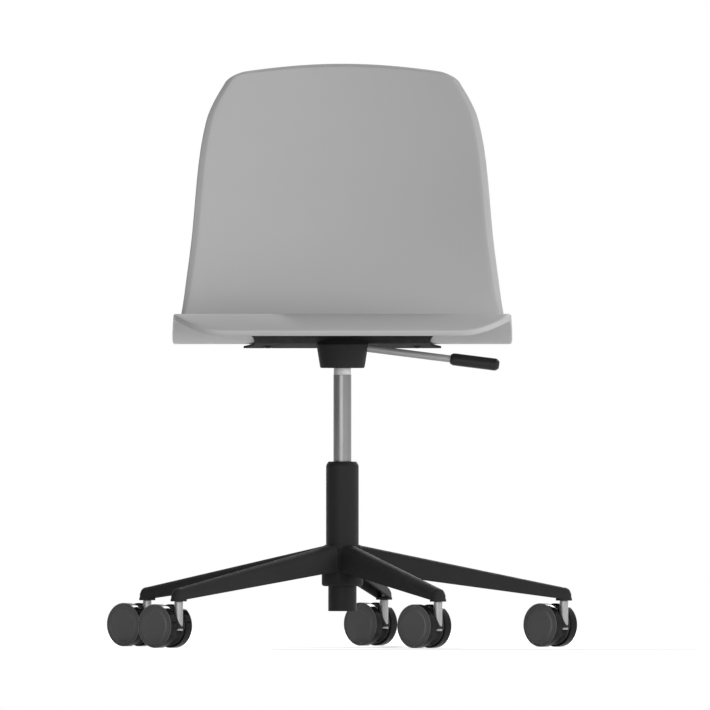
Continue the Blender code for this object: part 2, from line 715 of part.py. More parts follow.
def build_column():
    """The outer tube with its guide bush and the thrust bearing on its floor."""
    hole = ROD_R + GAP
    tube = [
        (TUBE_BORE_R, TUBE_TOP_Z),
        (TUBE_R - TUBE_CHAMFER / 2, TUBE_TOP_Z),
        (TUBE_R, TUBE_TOP_Z - TUBE_CHAMFER),
        (TUBE_R, HUB_TOP_Z),
        (STUB_R, HUB_BOTTOM_Z),
        (STUB_R, TUBE_BOTTOM_Z),
        (STUB_BORE_R, TUBE_BOTTOM_Z),
        (STUB_BORE_R, RECESS_Z),
        (hole, RECESS_Z),
        (hole, TUBE_FLOOR_Z),
        (STUB_BORE_R, TUBE_FLOOR_Z),
        (STUB_BORE_R, HUB_BOTTOM_Z),
        (TUBE_BORE_R, HUB_TOP_Z),
    ]
    turned("column_tube", tube, COLUMN, "painted", ring=True)
    guide = [
        (CYLINDER_R + GAP, GUIDE_TOP_Z),
        (TUBE_BORE_R - GAP, GUIDE_TOP_Z),
        (TUBE_BORE_R - GAP, GUIDE_BOTTOM_Z),
        (CYLINDER_R + GAP, GUIDE_BOTTOM_Z),
    ]
    turned("guide_bush", guide, COLUMN, "guide", ring=True)
    for name, low in (("bearing_lower_race", LOWER_RACE_Z), ("bearing_upper_race", UPPER_RACE_Z)):
        ring_of(name, hole, RACE_R, low, RACE_THICKNESS, "steel")
    track = (hole + RACE_R) / 2
    inner, outer = track - CAGE_BAND / 2, track + CAGE_BAND / 2
    cage = ring_of("bearing_cage", inner, outer, BALL_Z - CAGE_THICKNESS / 2, CAGE_THICKNESS, "brass")
    ball = bmesh.new()
    bmesh.ops.create_uvsphere(ball, u_segments=BALL_FACETS, v_segments=BALL_FACETS - 2, radius=BALL_R)
    mesh = bpy.data.meshes.new("bearing_ball")
    ball.to_mesh(mesh)
    ball.free()
    for number in range(BALL_COUNT):
        place = add_object(f"bearing_ball_{number}", mesh, COLUMN)
        angle = (number + 0.5) * math.tau / BALL_COUNT
        place.location = (track * math.cos(angle), track * math.sin(angle), BALL_Z)
        combine(cage, place, "UNION")


def ring_of(name, inner, outer, low, height, look):
    """A flat ring round the column's axis."""
    profile = [(inner, low + height), (outer, low + height), (outer, low), (inner, low)]
    return turned(name, profile, COLUMN, look, ring=True, facets=SMALL_FACETS)


def build_gas_spring():
    """The chromed cylinder that carries the seat, and the piston rod, clip and stop that stay in the tube."""
    head_z = CYLINDER_TOP_Z - CYLINDER_HEAD
    cylinder = [
        (VALVE_R + GAP, CYLINDER_TOP_Z),
        (TAPER_TOP_R, CYLINDER_TOP_Z),
        (TAPER_BASE_R, SHOULDER_Z),
        (CYLINDER_R, SHOULDER_Z - TAPER_STEP),
        (CYLINDER_R, CYLINDER_BOTTOM_Z),
        (CYLINDER_BORE_R, CYLINDER_BOTTOM_Z),
        (CYLINDER_BORE_R, head_z),
        (VALVE_R + GAP, head_z),
    ]
    turned("gas_cylinder", cylinder, COLUMN, "chrome", ring=True)
    gland_r = CYLINDER_BORE_R - GAP
    ring_of("cylinder_gland", ROD_R + GAP, gland_r, CYLINDER_BOTTOM_Z, GLAND_LENGTH, "steel")
    ring_of("piston", ROD_STUD_R + GAP, gland_r, PISTON_Z, PISTON_LENGTH, "brass")
    valve_foot = CYLINDER_TOP_Z - VALVE_DEPTH
    valve = [
        (0, VALVE_TOP_Z),
        (VALVE_DOME, VALVE_TOP_Z),
        (VALVE_R, VALVE_TOP_Z - VALVE_DOME),
        (VALVE_R, valve_foot),
        (0, valve_foot),
    ]
    turned("valve_pin", valve, COLUMN, "steel", facets=SMALL_FACETS)

    clip_z = RECESS_Z - GAP - CLIP_THICKNESS
    groove_r = ROD_R - CLIP_GROOVE
    spindle = [
        (0, PISTON_Z + PISTON_LENGTH + CLIP_THICKNESS),
        (ROD_STUD_R, PISTON_Z + PISTON_LENGTH + CLIP_THICKNESS),
        (ROD_STUD_R, PISTON_Z - GAP),
        (ROD_R, PISTON_Z - GAP),
        (ROD_R, COLLAR_Z + ROD_COLLAR),
        (ROD_COLLAR_R, COLLAR_Z + ROD_COLLAR),
        (ROD_COLLAR_R, COLLAR_Z),
        (ROD_R, COLLAR_Z),
        (ROD_R, clip_z + CLIP_THICKNESS + GAP),
        (groove_r, clip_z + CLIP_THICKNESS + GAP),
        (groove_r, clip_z - GAP),
        (ROD_R, clip_z - GAP),
        (ROD_R, RECESS_Z - ROD_TAIL),
        (0, RECESS_Z - ROD_TAIL),
    ]
    turned("piston_rod", spindle, COLUMN, "steel", facets=SMALL_FACETS)
    ring_of("bump_stop", ROD_R + GAP, BUMPER_R, BUMPER_Z, BUMPER_HEIGHT, "bumper")
    clip = ring_of("retaining_clip", groove_r + GAP, CLIP_R, clip_z, CLIP_THICKNESS, "steel")
    mouth_low = (0.0, -CLIP_MOUTH / 2, clip_z - CLIP_THICKNESS)
    mouth_high = (2 * CLIP_R, CLIP_MOUTH / 2, clip_z + 2 * CLIP_THICKNESS)
    combine(clip, box("clip_mouth", mouth_low, mouth_high, COLUMN))


def build_arm():
    """One hollow arm along +X: a tapered channel, open below, and a cup for the caster's stem."""
    root, tip = HUB_R - ARM_ROOT_SINK, STEM_CIRCLE_R + ARM_PAST_STEM
    root_bottom, tip_bottom = HUB_TOP_Z - ARM_ROOT_DEPTH, CUP_TOP_Z - ARM_TIP_DEPTH
    near = (root, -ARM_ROOT_HALF, ARM_ROOT_HALF, ARM_DRAFT, root_bottom, HUB_TOP_Z - GAP)
    far = (tip, -ARM_TIP_HALF, ARM_TIP_HALF, ARM_DRAFT, tip_bottom, CUP_TOP_Z - GAP)
    arm = wedge("arm_form", near, far, COLUMN, round_top=ARM_ROUND)
    inner_x, outer_x = HUB_R + ARM_WALL, STEM_CIRCLE_R - CUP_R + ARM_WALL / 2

    def along_arm(x, at_root, at_tip):
        return at_root + (at_tip - at_root) * (x - root) / (tip - root)

    ends = []
    for x in (inner_x, outer_x):
        half = along_arm(x, ARM_ROOT_HALF, ARM_TIP_HALF) - ARM_WALL
        bottom = along_arm(x, root_bottom, tip_bottom) - ARM_TIP_DEPTH
        roof = along_arm(x, HUB_TOP_Z, CUP_TOP_Z) - ARM_ROOF
        ends.append((x, -half, half, ARM_DRAFT, bottom, roof))
    combine(arm, wedge("arm_hollow", *ends, COLUMN))
    stem = add_axis("arm_stem_axis", (STEM_CIRCLE_R, 0.0, 0.0), COLUMN)
    cup = [
        (0, CUP_TOP_Z),
        *quarter(CUP_R - CUP_ROUND, CUP_TOP_Z - CUP_ROUND, CUP_ROUND, 90, 0),
        (CUP_R, CUP_BOTTOM_Z),
        (0, CUP_BOTTOM_Z),
    ]
    combine(arm, turned("arm_cup", cup, stem, facets=SMALL_FACETS), "UNION")
    mesh = fixed_mesh(arm)
    for used in [arm, *(step.object for step in arm.modifiers)]:
        bpy.data.objects.remove(used, do_unlink=True)
    return mesh


def build_base():
    """The five-star base: a hub with the column's taper bored in it, and the arms joined to it."""
    hub = [
        (0, HUB_TOP_Z),
        (HUB_R - HUB_ROUND, HUB_TOP_Z),
        (HUB_R, HUB_TOP_Z - HUB_ROUND),
        *quarter(HUB_R - HUB_ROUND, HUB_BOTTOM_Z + HUB_ROUND, HUB_ROUND, 0, -90, points=3),
        (0, HUB_BOTTOM_Z),
    ]
    base = turned("star_base", hub, COLUMN, "nylon", facets=HUB_FACETS)
    arm = build_arm()
    forms, sockets = [], []
    for number in range(1, ARM_COUNT + 1):
        form = add_object(f"arm_{number}", arm, COLUMN)
        form.rotation_euler = (0.0, 0.0, arm_angle(number))
        forms.append(form)
        neck = rod(f"arm_{number}_socket", STEM_NECK_R + GAP, 0.0, CUP_BOTTOM_Z + STEM_NECK + GAP, COLUMN)
        neck.location = stem_place(number)
        sockets.append(neck)
    combine_all(base, forms, "UNION")
    taper = [
        (0, HUB_TOP_Z + CUT_REACH),
        (taper_r(HUB_TOP_Z, GAP), HUB_TOP_Z + CUT_REACH),
        (taper_r(HUB_TOP_Z, GAP), HUB_TOP_Z),
        (taper_r(HUB_BOTTOM_Z, GAP), HUB_BOTTOM_Z),
        (taper_r(HUB_BOTTOM_Z, GAP), HUB_BOTTOM_Z - CUT_REACH),
        (0, HUB_BOTTOM_Z - CUT_REACH),
    ]
    combine_all(base, [turned("hub_taper", taper, COLUMN), *sockets])


def caster_profiles():
    """The profiles of a caster's wheel and tyre, outer face up, from the wheel's inner face."""
    face = TREAD_WIDTH + FACE_DOME
    slope = FACE_DOME / (WHEEL_R - FACE_R)

    def shoulder(radius):
        return face - slope * (radius - FACE_R)

    seat = TYRE_SEAT_R - GAP
    wheel = [
        (0, face),
        (FACE_R, face),
        (seat, shoulder(seat)),
        (seat, 0),
        (AXLE_R + GAP, 0),
        (AXLE_R + GAP, AXLE_BORE),
        (0, AXLE_BORE),
    ]
    tyre = [
        (TYRE_SEAT_R, shoulder(TYRE_SEAT_R)),
        (WHEEL_R - TYRE_EDGE, shoulder(WHEEL_R - TYRE_EDGE)),
        (WHEEL_R, TREAD_WIDTH - TYRE_SHOULDER),
        (WHEEL_R, TYRE_ROUND),
        (WHEEL_R - TYRE_ROUND, 0),
        (TYRE_SEAT_R, 0),
    ]
    return wheel, tyre


def build_caster(number, stem_axis):
    """One twin-wheel caster: stem, core between the wheels, axle, and two wheels with their tyres."""
    name = f"caster_{number}"
    shoulder = CUP_BOTTOM_Z - GAP
    neck_top = CUP_BOTTOM_Z + STEM_NECK
    stem = [
        (0, neck_top),
        (STEM_NECK_R, neck_top),
        (STEM_NECK_R, shoulder),
        (STEM_R, shoulder),
        (STEM_R, STEM_FOOT_Z),
        (0, STEM_FOOT_Z),
    ]
    turned(f"{name}_stem", stem, stem_axis, "steel", facets=SMALL_FACETS)

    sideways = (math.pi / 2, 0.0, 0.0)
    axle_axis = add_axis(f"{name}_axle_axis", (-CASTER_TRAIL, 0.0, AXLE_Z), stem_axis, sideways)
    half = WHEEL_SPACING / 2
    core_half = half - RUNNING_GAP
    housing = rod(f"{name}_housing", CORE_R, -core_half, core_half, axle_axis, "nylon", TUBE_FACETS)
    socket_top = AXLE_Z + CORE_R + SOCKET_LIP_DROP
    socket = rod(f"{name}_socket", SOCKET_R, SOCKET_BOTTOM_Z, socket_top, stem_axis)
    combine(housing, socket, "UNION")
    fall = math.atan2(socket_top - SOCKET_BOTTOM_Z - SOCKET_LIP_DROP, 2 * SOCKET_R)
    lip = add_axis(f"{name}_lip", (-STEM_R, 0.0, socket_top), stem_axis, (0.0, fall, 0.0))
    cut_low, cut_high = (0.0, -CUT_REACH, 0.0), (CUT_REACH, CUT_REACH, CUT_REACH)
    combine(housing, box(f"{name}_lip_cut", cut_low, cut_high, lip))
    combine(housing, rod(f"{name}_stem_bore", STEM_R + GAP, -CORE_R, CUP_BOTTOM_Z, stem_axis))
    combine(housing, rod(f"{name}_axle_bore", AXLE_R + GAP, -CUT_REACH, CUT_REACH, axle_axis))

    end = half + AXLE_BORE - GAP
    rod(f"{name}_axle", AXLE_R, -end, end, axle_axis, "steel")
    wheel, tyre = caster_profiles()
    for side, turn in (("left", 0.0), ("right", math.pi)):
        outward = 1 if side == "left" else -1
        place = add_axis(f"{name}_{side}_axis", (0.0, 0.0, outward * half), axle_axis, (turn, 0.0, 0.0))
        for part, profile in (("wheel", wheel), ("tyre", tyre)):
            piece = turned(f"{name}_{part}_{side}", profile, place, part, part == "tyre", TYRE_FACETS)
            piece.rotation_euler = (0.0, 0.0, math.pi / 2 + math.pi / TYRE_FACETS)


def build_chair():
    """Builds every piece of the chair."""
    screw_axes = [
        add_axis(f"plate_screw_{number}_axis", (x, y, plate_top(y)), COLUMN, (tilt, 0.0, 0.0))
        for number, (x, y, tilt) in enumerate(screw_places(), 1)
    ]
    build_shell(screw_axes)
    build_plate(screw_axes)
    build_mechanism()
    build_gas_spring()
    build_column()
    build_base()
    for number in range(1, ARM_COUNT + 1):
        heading = (0.0, 0.0, CASTER_HEADING)
        build_caster(number, add_axis(f"caster_{number}_axis", stem_place(number), COLUMN, heading))


build_chair()
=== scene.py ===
"""Looks of the swivel chair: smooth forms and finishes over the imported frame.

Metres, +Z up, the sitter faces -Y. The sizes repeat the part's own, and every form is built round the
column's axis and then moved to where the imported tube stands.
"""

from __future__ import annotations

import json
import logging
import math
from collections.abc import Iterable, Sequence
from dataclasses import dataclass, field
from enum import Enum

import bmesh
import bpy
from bmesh.types import BMesh, BMVert
from bpy.types import Material, Mesh, Node, NodeSocket, NodeTree, Object
from mathutils import Matrix, Vector

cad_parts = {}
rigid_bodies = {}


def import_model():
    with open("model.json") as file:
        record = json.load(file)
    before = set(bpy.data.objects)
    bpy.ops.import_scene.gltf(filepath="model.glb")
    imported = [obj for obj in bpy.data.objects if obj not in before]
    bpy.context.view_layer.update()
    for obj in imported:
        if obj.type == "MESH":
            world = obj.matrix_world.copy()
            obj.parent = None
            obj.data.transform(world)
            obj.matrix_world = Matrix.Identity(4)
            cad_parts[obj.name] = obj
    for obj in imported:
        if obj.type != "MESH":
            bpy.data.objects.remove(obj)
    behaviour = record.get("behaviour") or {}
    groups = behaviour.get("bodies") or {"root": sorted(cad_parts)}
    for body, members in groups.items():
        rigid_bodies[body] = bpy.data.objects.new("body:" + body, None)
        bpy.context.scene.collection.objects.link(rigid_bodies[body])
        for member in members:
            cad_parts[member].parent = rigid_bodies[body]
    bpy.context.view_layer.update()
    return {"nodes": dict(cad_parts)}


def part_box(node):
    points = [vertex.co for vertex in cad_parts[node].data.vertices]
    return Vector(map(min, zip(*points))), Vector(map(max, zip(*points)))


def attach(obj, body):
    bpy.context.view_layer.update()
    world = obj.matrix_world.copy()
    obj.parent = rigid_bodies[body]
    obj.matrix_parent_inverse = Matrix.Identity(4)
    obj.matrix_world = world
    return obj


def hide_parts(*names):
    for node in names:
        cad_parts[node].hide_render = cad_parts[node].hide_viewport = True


LOG = logging.getLogger("swivel_chair")

# Room between pieces that fit closely, and between pieces that move past each other.
GAP = 0.0003
RUNNING_GAP = 0.0008
# Facets of a full turn.
FINE = 96
SMALL = 48
# Points nearer than this are one point, and a rounding takes at most this share of a side.
TOUCHING = 1e-6
SIDE_SHARE = 0.49
# A quarter turn.
QUARTER = math.pi / 2
# Faces across a turned rounding and across a bevelled edge, and the shape of a round bevel.
ROUND_STEPS = 6
EDGE_STEPS = 3
ROUND_BEVEL = 0.5
# Roundings of edges, from one that is only broken to one that shows.
FAINT = 0.0002
CRISP = 0.0003
TIGHT = 0.0004
SLIGHT = 0.0005
PLAIN = 0.0006
SOFT = 0.0008
BOLD = 0.0012
WIDE = 0.0015
# Layers of finer noise in a finish's colour, gloss and grain.
MOTTLE_DETAIL = 3.0
GLOSS_DETAIL = 4.0
GRAIN_DETAIL = 2.0
# The part of the noise's range that is spread over the gloss, and the least roughness.
NOISE_LOW = 0.3
NOISE_HIGH = 0.7
LEAST_ROUGHNESS = 0.02
# How strongly the grain bends the light.
GRAIN_STRENGTH = 0.6
# Sockets of the node that mixes two colours.
MIX_SHARE = 0
MIX_FIRST = 6
MIX_SECOND = 7
MIX_RESULT = 2

Profile = list[tuple[float, float]]
Corner = tuple[float, float, float]
Colour = tuple[float, float, float]


def grey(level: float) -> Colour:
    """A colour without a hue."""
    return (level, level, level)


def smooth(share: float) -> float:
    """Eases a share in and out between 0 and 1."""
    share = min(max(share, 0.0), 1.0)
    return share * share * (3 - 2 * share)


def spaced(start: float, end: float, count: int) -> list[float]:
    """Evenly spaced values from start to end, in a count of steps."""
    return [start + (end - start) * k / count for k in range(count + 1)]


def put(tree: NodeTree, socket: NodeSocket, value: NodeSocket | float | Sequence[float]) -> None:
    """Links an output to an input, or sets the input.

    Args:
        tree: The nodes.
        socket: The input.
        value: The output's socket, or a plain value.
    """
    if isinstance(value, NodeSocket):
        tree.links.new(value, socket)
    else:
        socket.default_value = value


def feed(tree: NodeTree, node: Node, **values: NodeSocket | float | Sequence[float]) -> Node:
    """Links or sets several inputs of a node.

    Args:
        tree: The nodes.
        node: The node.
        values: What goes into its inputs, named with underscores for spaces.

    Returns:
        The node.
    """
    for label, value in values.items():
        put(tree, node.inputs[label.replace("_", " ")], value)
    return node


def add_math(
    tree: NodeTree, operation: str, first: NodeSocket, second: NodeSocket | float = 0.0
) -> NodeSocket:
    """Adds a sum.

    Args:
        tree: The nodes.
        operation: The kind of sum.
        first: Its first value.
        second: Its second value.

    Returns:
        The result's socket.
    """
    made = tree.nodes.new("ShaderNodeMath")
    made.operation = operation
    put(tree, made.inputs[0], first)
    put(tree, made.inputs[1], second)
    return made.outputs[0]


class Grain(Enum):
    """How a finish breaks up the light; the value is how its grain is stretched along X, Y and Z."""

    MOULDED = (1.0, 1.0, 1.0)
    COATED = (0.4, 0.4, 0.4)
    TURNED = (0.02, 0.02, 1.0)
    DRAWN = (0.03, 1.0, 1.0)


@dataclass(frozen=True)
class Finish:
    """A surface finish: its colour and gloss, how much they vary, and its fine grain."""

    name: str
    slot: str
    colour: Colour
    roughness: float
    metallic: float = 0.0
    specular: float = 0.5
    grain: Grain = Grain.MOULDED
    grain_size: float = 0.0006
    grain_depth: float = 0.00003
    mottle: float = 0.05
    mottle_size: float = 0.05
    gloss_spread: float = 0.06
    gloss_size: float = 0.012

    def material(self) -> Material:
        """Makes the finish's material, or gives the one already made.

        Returns:
            A material whose colour, gloss and grain come from noise in object space.
        """
        found = bpy.data.materials.get(self.name)
        if found:
            return found
        made = bpy.data.materials.new(self.name)
        made.use_nodes = True
        made.diffuse_color = (*self.colour, 1.0)
        tree = made.node_tree
        place = tree.nodes.new("ShaderNodeTexCoord").outputs["Object"]
        feed(
            tree,
            tree.nodes["Principled BSDF"],
            Metallic=self.metallic,
            Specular_IOR_Level=self.specular,
            Base_Color=self._tint(tree, place),
            Roughness=self._gloss(tree, place),
            Normal=self._relief(tree, place),
        )
        return made

    @staticmethod
    def _noise(tree: NodeTree, place: NodeSocket, size: float, detail: float) -> NodeSocket:
        """Adds a cloud of noise from 0 to 1 with spots of a size, in metres."""
        cloud = tree.nodes.new("ShaderNodeTexNoise")
        return feed(tree, cloud, Vector=place, Scale=1.0 / size, Detail=detail).outputs[0]

    def _tint(self, tree: NodeTree, place: NodeSocket) -> NodeSocket:
        """Adds the colour, which drifts a little over the piece.

        Args:
            tree: The material's nodes.
            place: Object coordinates.

        Returns:
            The colour.
        """
        blend = tree.nodes.new("ShaderNodeMix")
        blend.data_type = "RGBA"
        put(tree, blend.inputs[MIX_SHARE], self._noise(tree, place, self.mottle_size, MOTTLE_DETAIL))
        for index, level in ((MIX_FIRST, 1 - self.mottle), (MIX_SECOND, 1 + self.mottle)):
            put(tree, blend.inputs[index], (*(value * level for value in self.colour), 1.0))
        return blend.outputs[MIX_RESULT]

    def _gloss(self, tree: NodeTree, place: NodeSocket) -> NodeSocket:
        """Adds the roughness, which varies as handling and moulding leave it.

        Args:
            tree: The material's nodes.
            place: Object coordinates.

        Returns:
            The roughness.
        """
        spread = feed(
            tree,
            tree.nodes.new("ShaderNodeMapRange"),
            Value=self._noise(tree, place, self.gloss_size, GLOSS_DETAIL),
            From_Min=NOISE_LOW,
            From_Max=NOISE_HIGH,
            To_Min=max(self.roughness - self.gloss_spread, LEAST_ROUGHNESS),
            To_Max=self.roughness + self.gloss_spread,
        )
        return spread.outputs["Result"]

    def _relief(self, tree: NodeTree, place: NodeSocket) -> NodeSocket:
        """Adds the fine grain as a bump.

        Args:
            tree: The material's nodes.
            place: Object coordinates.

        Returns:
            The bumped normal.
        """
        stretch = feed(tree, tree.nodes.new("ShaderNodeMapping"), Vector=place, Scale=self.grain.value)
        bump = feed(
            tree,
            tree.nodes.new("ShaderNodeBump"),
            Strength=GRAIN_STRENGTH,
            Distance=self.grain_depth,
            Height=self._noise(tree, stretch.outputs["Vector"], self.grain_size, GRAIN_DETAIL),
        )
        return bump.outputs["Normal"]


SHELL_GREY = Finish(
    "shell_grey", "shell", grey(0.42), 0.5, specular=0.07, mottle=0.02, mottle_size=0.12
)
PLATE_BLACK = Finish(
    "powder_coat_black",
    "plate_paint",
    (0.0102, 0.0102, 0.0107),
    0.7,
    specular=0.02,
    grain=Grain.COATED,
    grain_depth=0.00005,
    mottle=0.12,
)
TUBE_BLACK = Finish("tube_black", "plate_paint", grey(0.019), 0.5, specular=0.11, grain=Grain.COATED)
NYLON_BLACK = Finish(
    "nylon_black", "black_nylon", (0.0262, 0.0262, 0.0268), 0.55, specular=0.04, mottle=0.12
)
GRIP_BLACK = Finish("grip_black", "grip", grey(0.012), 0.42, specular=0.25, grain_depth=0.00005)
LEVER_STEEL = Finish(
    "lever_satin", "lever_chrome", grey(0.30), 0.45, metallic=0.35, grain=Grain.DRAWN, mottle=0.04
)
CYLINDER_CHROME = Finish(
    "cylinder_chrome",
    "chrome",
    grey(0.245),
    0.3,
    metallic=1.0,
    grain=Grain.TURNED,
    grain_depth=0.000001,
    gloss_spread=0.02,
    gloss_size=0.03,
)
TAPER_STEEL = Finish("taper_bright", "chrome", grey(0.56), 0.5, specular=0.2, grain=Grain.TURNED)
STEEL = Finish("zinc_plated_steel", "steel", grey(0.36), 0.4, metallic=0.6, mottle=0.06)
SCREW_BLACK = Finish("screw_black", "steel", grey(0.02), 0.5, specular=0.2, mottle=0.1)
BRASS = Finish("bearing_brass", "brass", (0.55, 0.42, 0.20), 0.35, metallic=1.0, mottle=0.08)
GUIDE_NYLON = Finish("guide_nylon", "guide", grey(0.03), 0.45, specular=0.2, mottle=0.08)
BUMPER_RUBBER = Finish("bumper_rubber", "bumper", grey(0.03), 0.8, mottle=0.1)
WHEEL_GREY = Finish("wheel_grey", "wheel", (0.084, 0.084, 0.085), 0.5, specular=0.15, mottle=0.04)
TYRE_GLOSS = Finish(
    "tyre_gloss",
    "tyre",
    grey(0.006),
    0.13,
    specular=0.11,
    grain_depth=0.000003,
    gloss_spread=0.04,
)


def fillet(corners: Sequence[Corner], steps: int = ROUND_STEPS, closed: bool = False) -> Profile:
    """Rounds the corners of a profile.

    Args:
        corners: Corners as (radius from the axis, height, rounding).
        steps: Points on each rounding, less one.
        closed: Whether the last corner joins the first.

    Returns:
        The profile's points.
    """
    points: Profile = []
    count = len(corners)
    for i, (r, z, rounding) in enumerate(corners):
        here = Vector((r, z))
        if rounding <= 0 or (not closed and i in (0, count - 1)):
            points.append((r, z))
            continue
        to_last = Vector(corners[i - 1][:2]) - here
        to_next = Vector(corners[(i + 1) % count][:2]) - here
        half = to_last.angle(to_next) / 2
        reach = min(rounding / math.tan(half), SIDE_SHARE * to_last.length, SIDE_SHARE * to_next.length)
        radius = reach * math.tan(half)
        start, end = here + to_last.normalized() * reach, here + to_next.normalized() * reach
        middle = here + (to_last.normalized() + to_next.normalized()).normalized() * reach / math.cos(half)
        for k in range(steps + 1):
            way = (start - middle).lerp(end - middle, k / steps)
            point = middle + way.normalized() * radius if way.length > TOUCHING else here
            points.append((point.x, point.y))
    return points


def lathe(profile: Profile, segments: int = FINE, ring: bool = False) -> BMesh:
    """Turns a profile round the Z axis.

    Args:
        profile: Points as (radius, height).
        segments: Facets of a full turn.
        ring: Whether the profile closes on itself and leaves a bore.

    Returns:
        The closed surface.
    """
    made = bmesh.new()
    rings: list[list[BMVert]] = []
    for r, z in profile:
        if r < TOUCHING:
            rings.append([made.verts.new((0.0, 0.0, z))])
            continue
        turns = [math.tau * k / segments for k in range(segments)]
        rings.append([made.verts.new((r * math.cos(a), r * math.sin(a), z)) for a in turns])
    pairs = list(zip(rings, rings[1:]))
    if ring:
        pairs.append((rings[-1], rings[0]))
    for first, second in pairs:
        bridge(made, first, second, closed=True)
    bmesh.ops.recalc_face_normals(made, faces=made.faces)
    return made


def bridge(made: BMesh, first: Sequence[BMVert], second: Sequence[BMVert], closed: bool) -> None:
    """Joins two rows of points with faces; a row of one point is a pole.

    Args:
        made: The mesh they belong to.
        first: One row.
        second: The next row.
        closed: Whether the rows join up at their ends.
    """
    count = max(len(first), len(second))
    for k in range(count if closed else count - 1):
        corners = []
        for row, order in ((first, (k, k + 1)), (second, (k + 1, k))):
            for index in order:
                corner = row[index % len(row)]
                if corner not in corners:
                    corners.append(corner)
        if len(corners) > 2:
            made.faces.new(corners)


def loft(sections: Sequence[Sequence[Vector]]) -> BMesh:
    """Joins closed sections one after another and caps both ends.

    Args:
        sections: Rows of points, all of one length.

    Returns:
        The closed surface.
    """
    made = bmesh.new()
    rows = [[made.verts.new(point) for point in section] for section in sections]
    for first, second in zip(rows, rows[1:]):
        bridge(made, first, second, closed=True)
    made.faces.new(rows[0])
    made.faces.new(rows[-1])
    bmesh.ops.recalc_face_normals(made, faces=made.faces)
    return made


def rounded_box(low: Sequence[float], high: Sequence[float], rounding: float) -> BMesh:
    """A block between two corners with its edges rounded.

    Args:
        low: Its lowest corner.
        high: Its highest corner.
        rounding: Radius of its edges, or 0.

    Returns:
        The closed surface.
    """
    made = bmesh.new()
    bmesh.ops.create_cube(made, size=1.0)
    for point in made.verts:
        point.co = Vector([high[i] if point.co[i] > 0 else low[i] for i in range(3)])
    if rounding:
        bmesh.ops.bevel(
            made,
            geom=made.edges[:],
            offset=rounding,
            segments=EDGE_STEPS,
            profile=ROUND_BEVEL,
            affect="EDGES",
        )
    return made


def to_mesh(made: BMesh, place: Matrix | None = None) -> Mesh:
    """Turns a surface into a mesh.

    Args:
        made: The surface, which is freed.
        place: Where it goes.

    Returns:
        The mesh.
    """
    mesh = bpy.data.meshes.new("form")
    if place is not None:
        made.transform(place)
    made.to_mesh(mesh)
    made.free()
    return mesh


def turned(
    corners: Sequence[Corner],
    segments: int = SMALL,
    ring: bool = False,
    steps: int = ROUND_STEPS,
    place: Matrix | None = None,
) -> Mesh:
    """Turns a profile with rounded corners round the Z axis and moves the form to its place."""
    return to_mesh(lathe(fillet(corners, steps, closed=ring), segments, ring), place)


def cylinder(
    radius: float, low: float, high: float, segments: int = SMALL, place: Matrix | None = None
) -> Mesh:
    """A plain round form on the Z axis, to cut with or to join, moved to its place."""
    corners = [(0.0, high, 0.0), (radius, high, 0.0), (radius, low, 0.0), (0.0, low, 0.0)]
    return turned(corners, segments, place=place)


def joined(meshes: Iterable[Mesh]) -> Mesh:
    """Puts several meshes in one.

    Args:
        meshes: The meshes, which are left as they are.

    Returns:
        One mesh that holds them all.
    """
    made = bmesh.new()
    for mesh in meshes:
        made.from_mesh(mesh)
    return to_mesh(made)


def scratch(mesh: Mesh) -> Object:
    """Puts a mesh in the scene for a while, to work on it.

    Args:
        mesh: The mesh.

    Returns:
        The object that holds it.
    """
    made = bpy.data.objects.new("scratch", mesh)
    bpy.context.scene.collection.objects.link(made)
    return made


def carried_out(worked: Object, tools: Iterable[Object] = ()) -> Mesh:
    """Carries out an object's modifiers and clears the object and its tools away.

    Args:
        worked: The object.
        tools: Objects that its modifiers use.

    Returns:
        The finished mesh.
    """
    bpy.context.view_layer.update()
    mesh = bpy.data.meshes.new_from_object(worked.evaluated_get(bpy.context.evaluated_depsgraph_get()))
    for used in (worked, *tools):
        bpy.data.objects.remove(used, do_unlink=True)
    return mesh


class Work(Enum):
    """What a second form does to a first."""

    CUT = "DIFFERENCE"
    JOIN = "UNION"


def combined(mesh: Mesh, others: Sequence[Mesh], work: Work = Work.CUT) -> Mesh:
    """Cuts other forms from a mesh, or joins them to it, one after another.

    Args:
        mesh: The form to work on.
        others: The forms to cut with or to join.
        work: What the other forms do.

    Returns:
        The finished mesh.
    """
    worked = scratch(mesh)
    tools = [scratch(other) for other in others]
    for tool in tools:
        step = worked.modifiers.new("step", "BOOLEAN")
        step.operation = work.value
        step.object = tool
        step.solver = "EXACT"
    return carried_out(worked, tools)


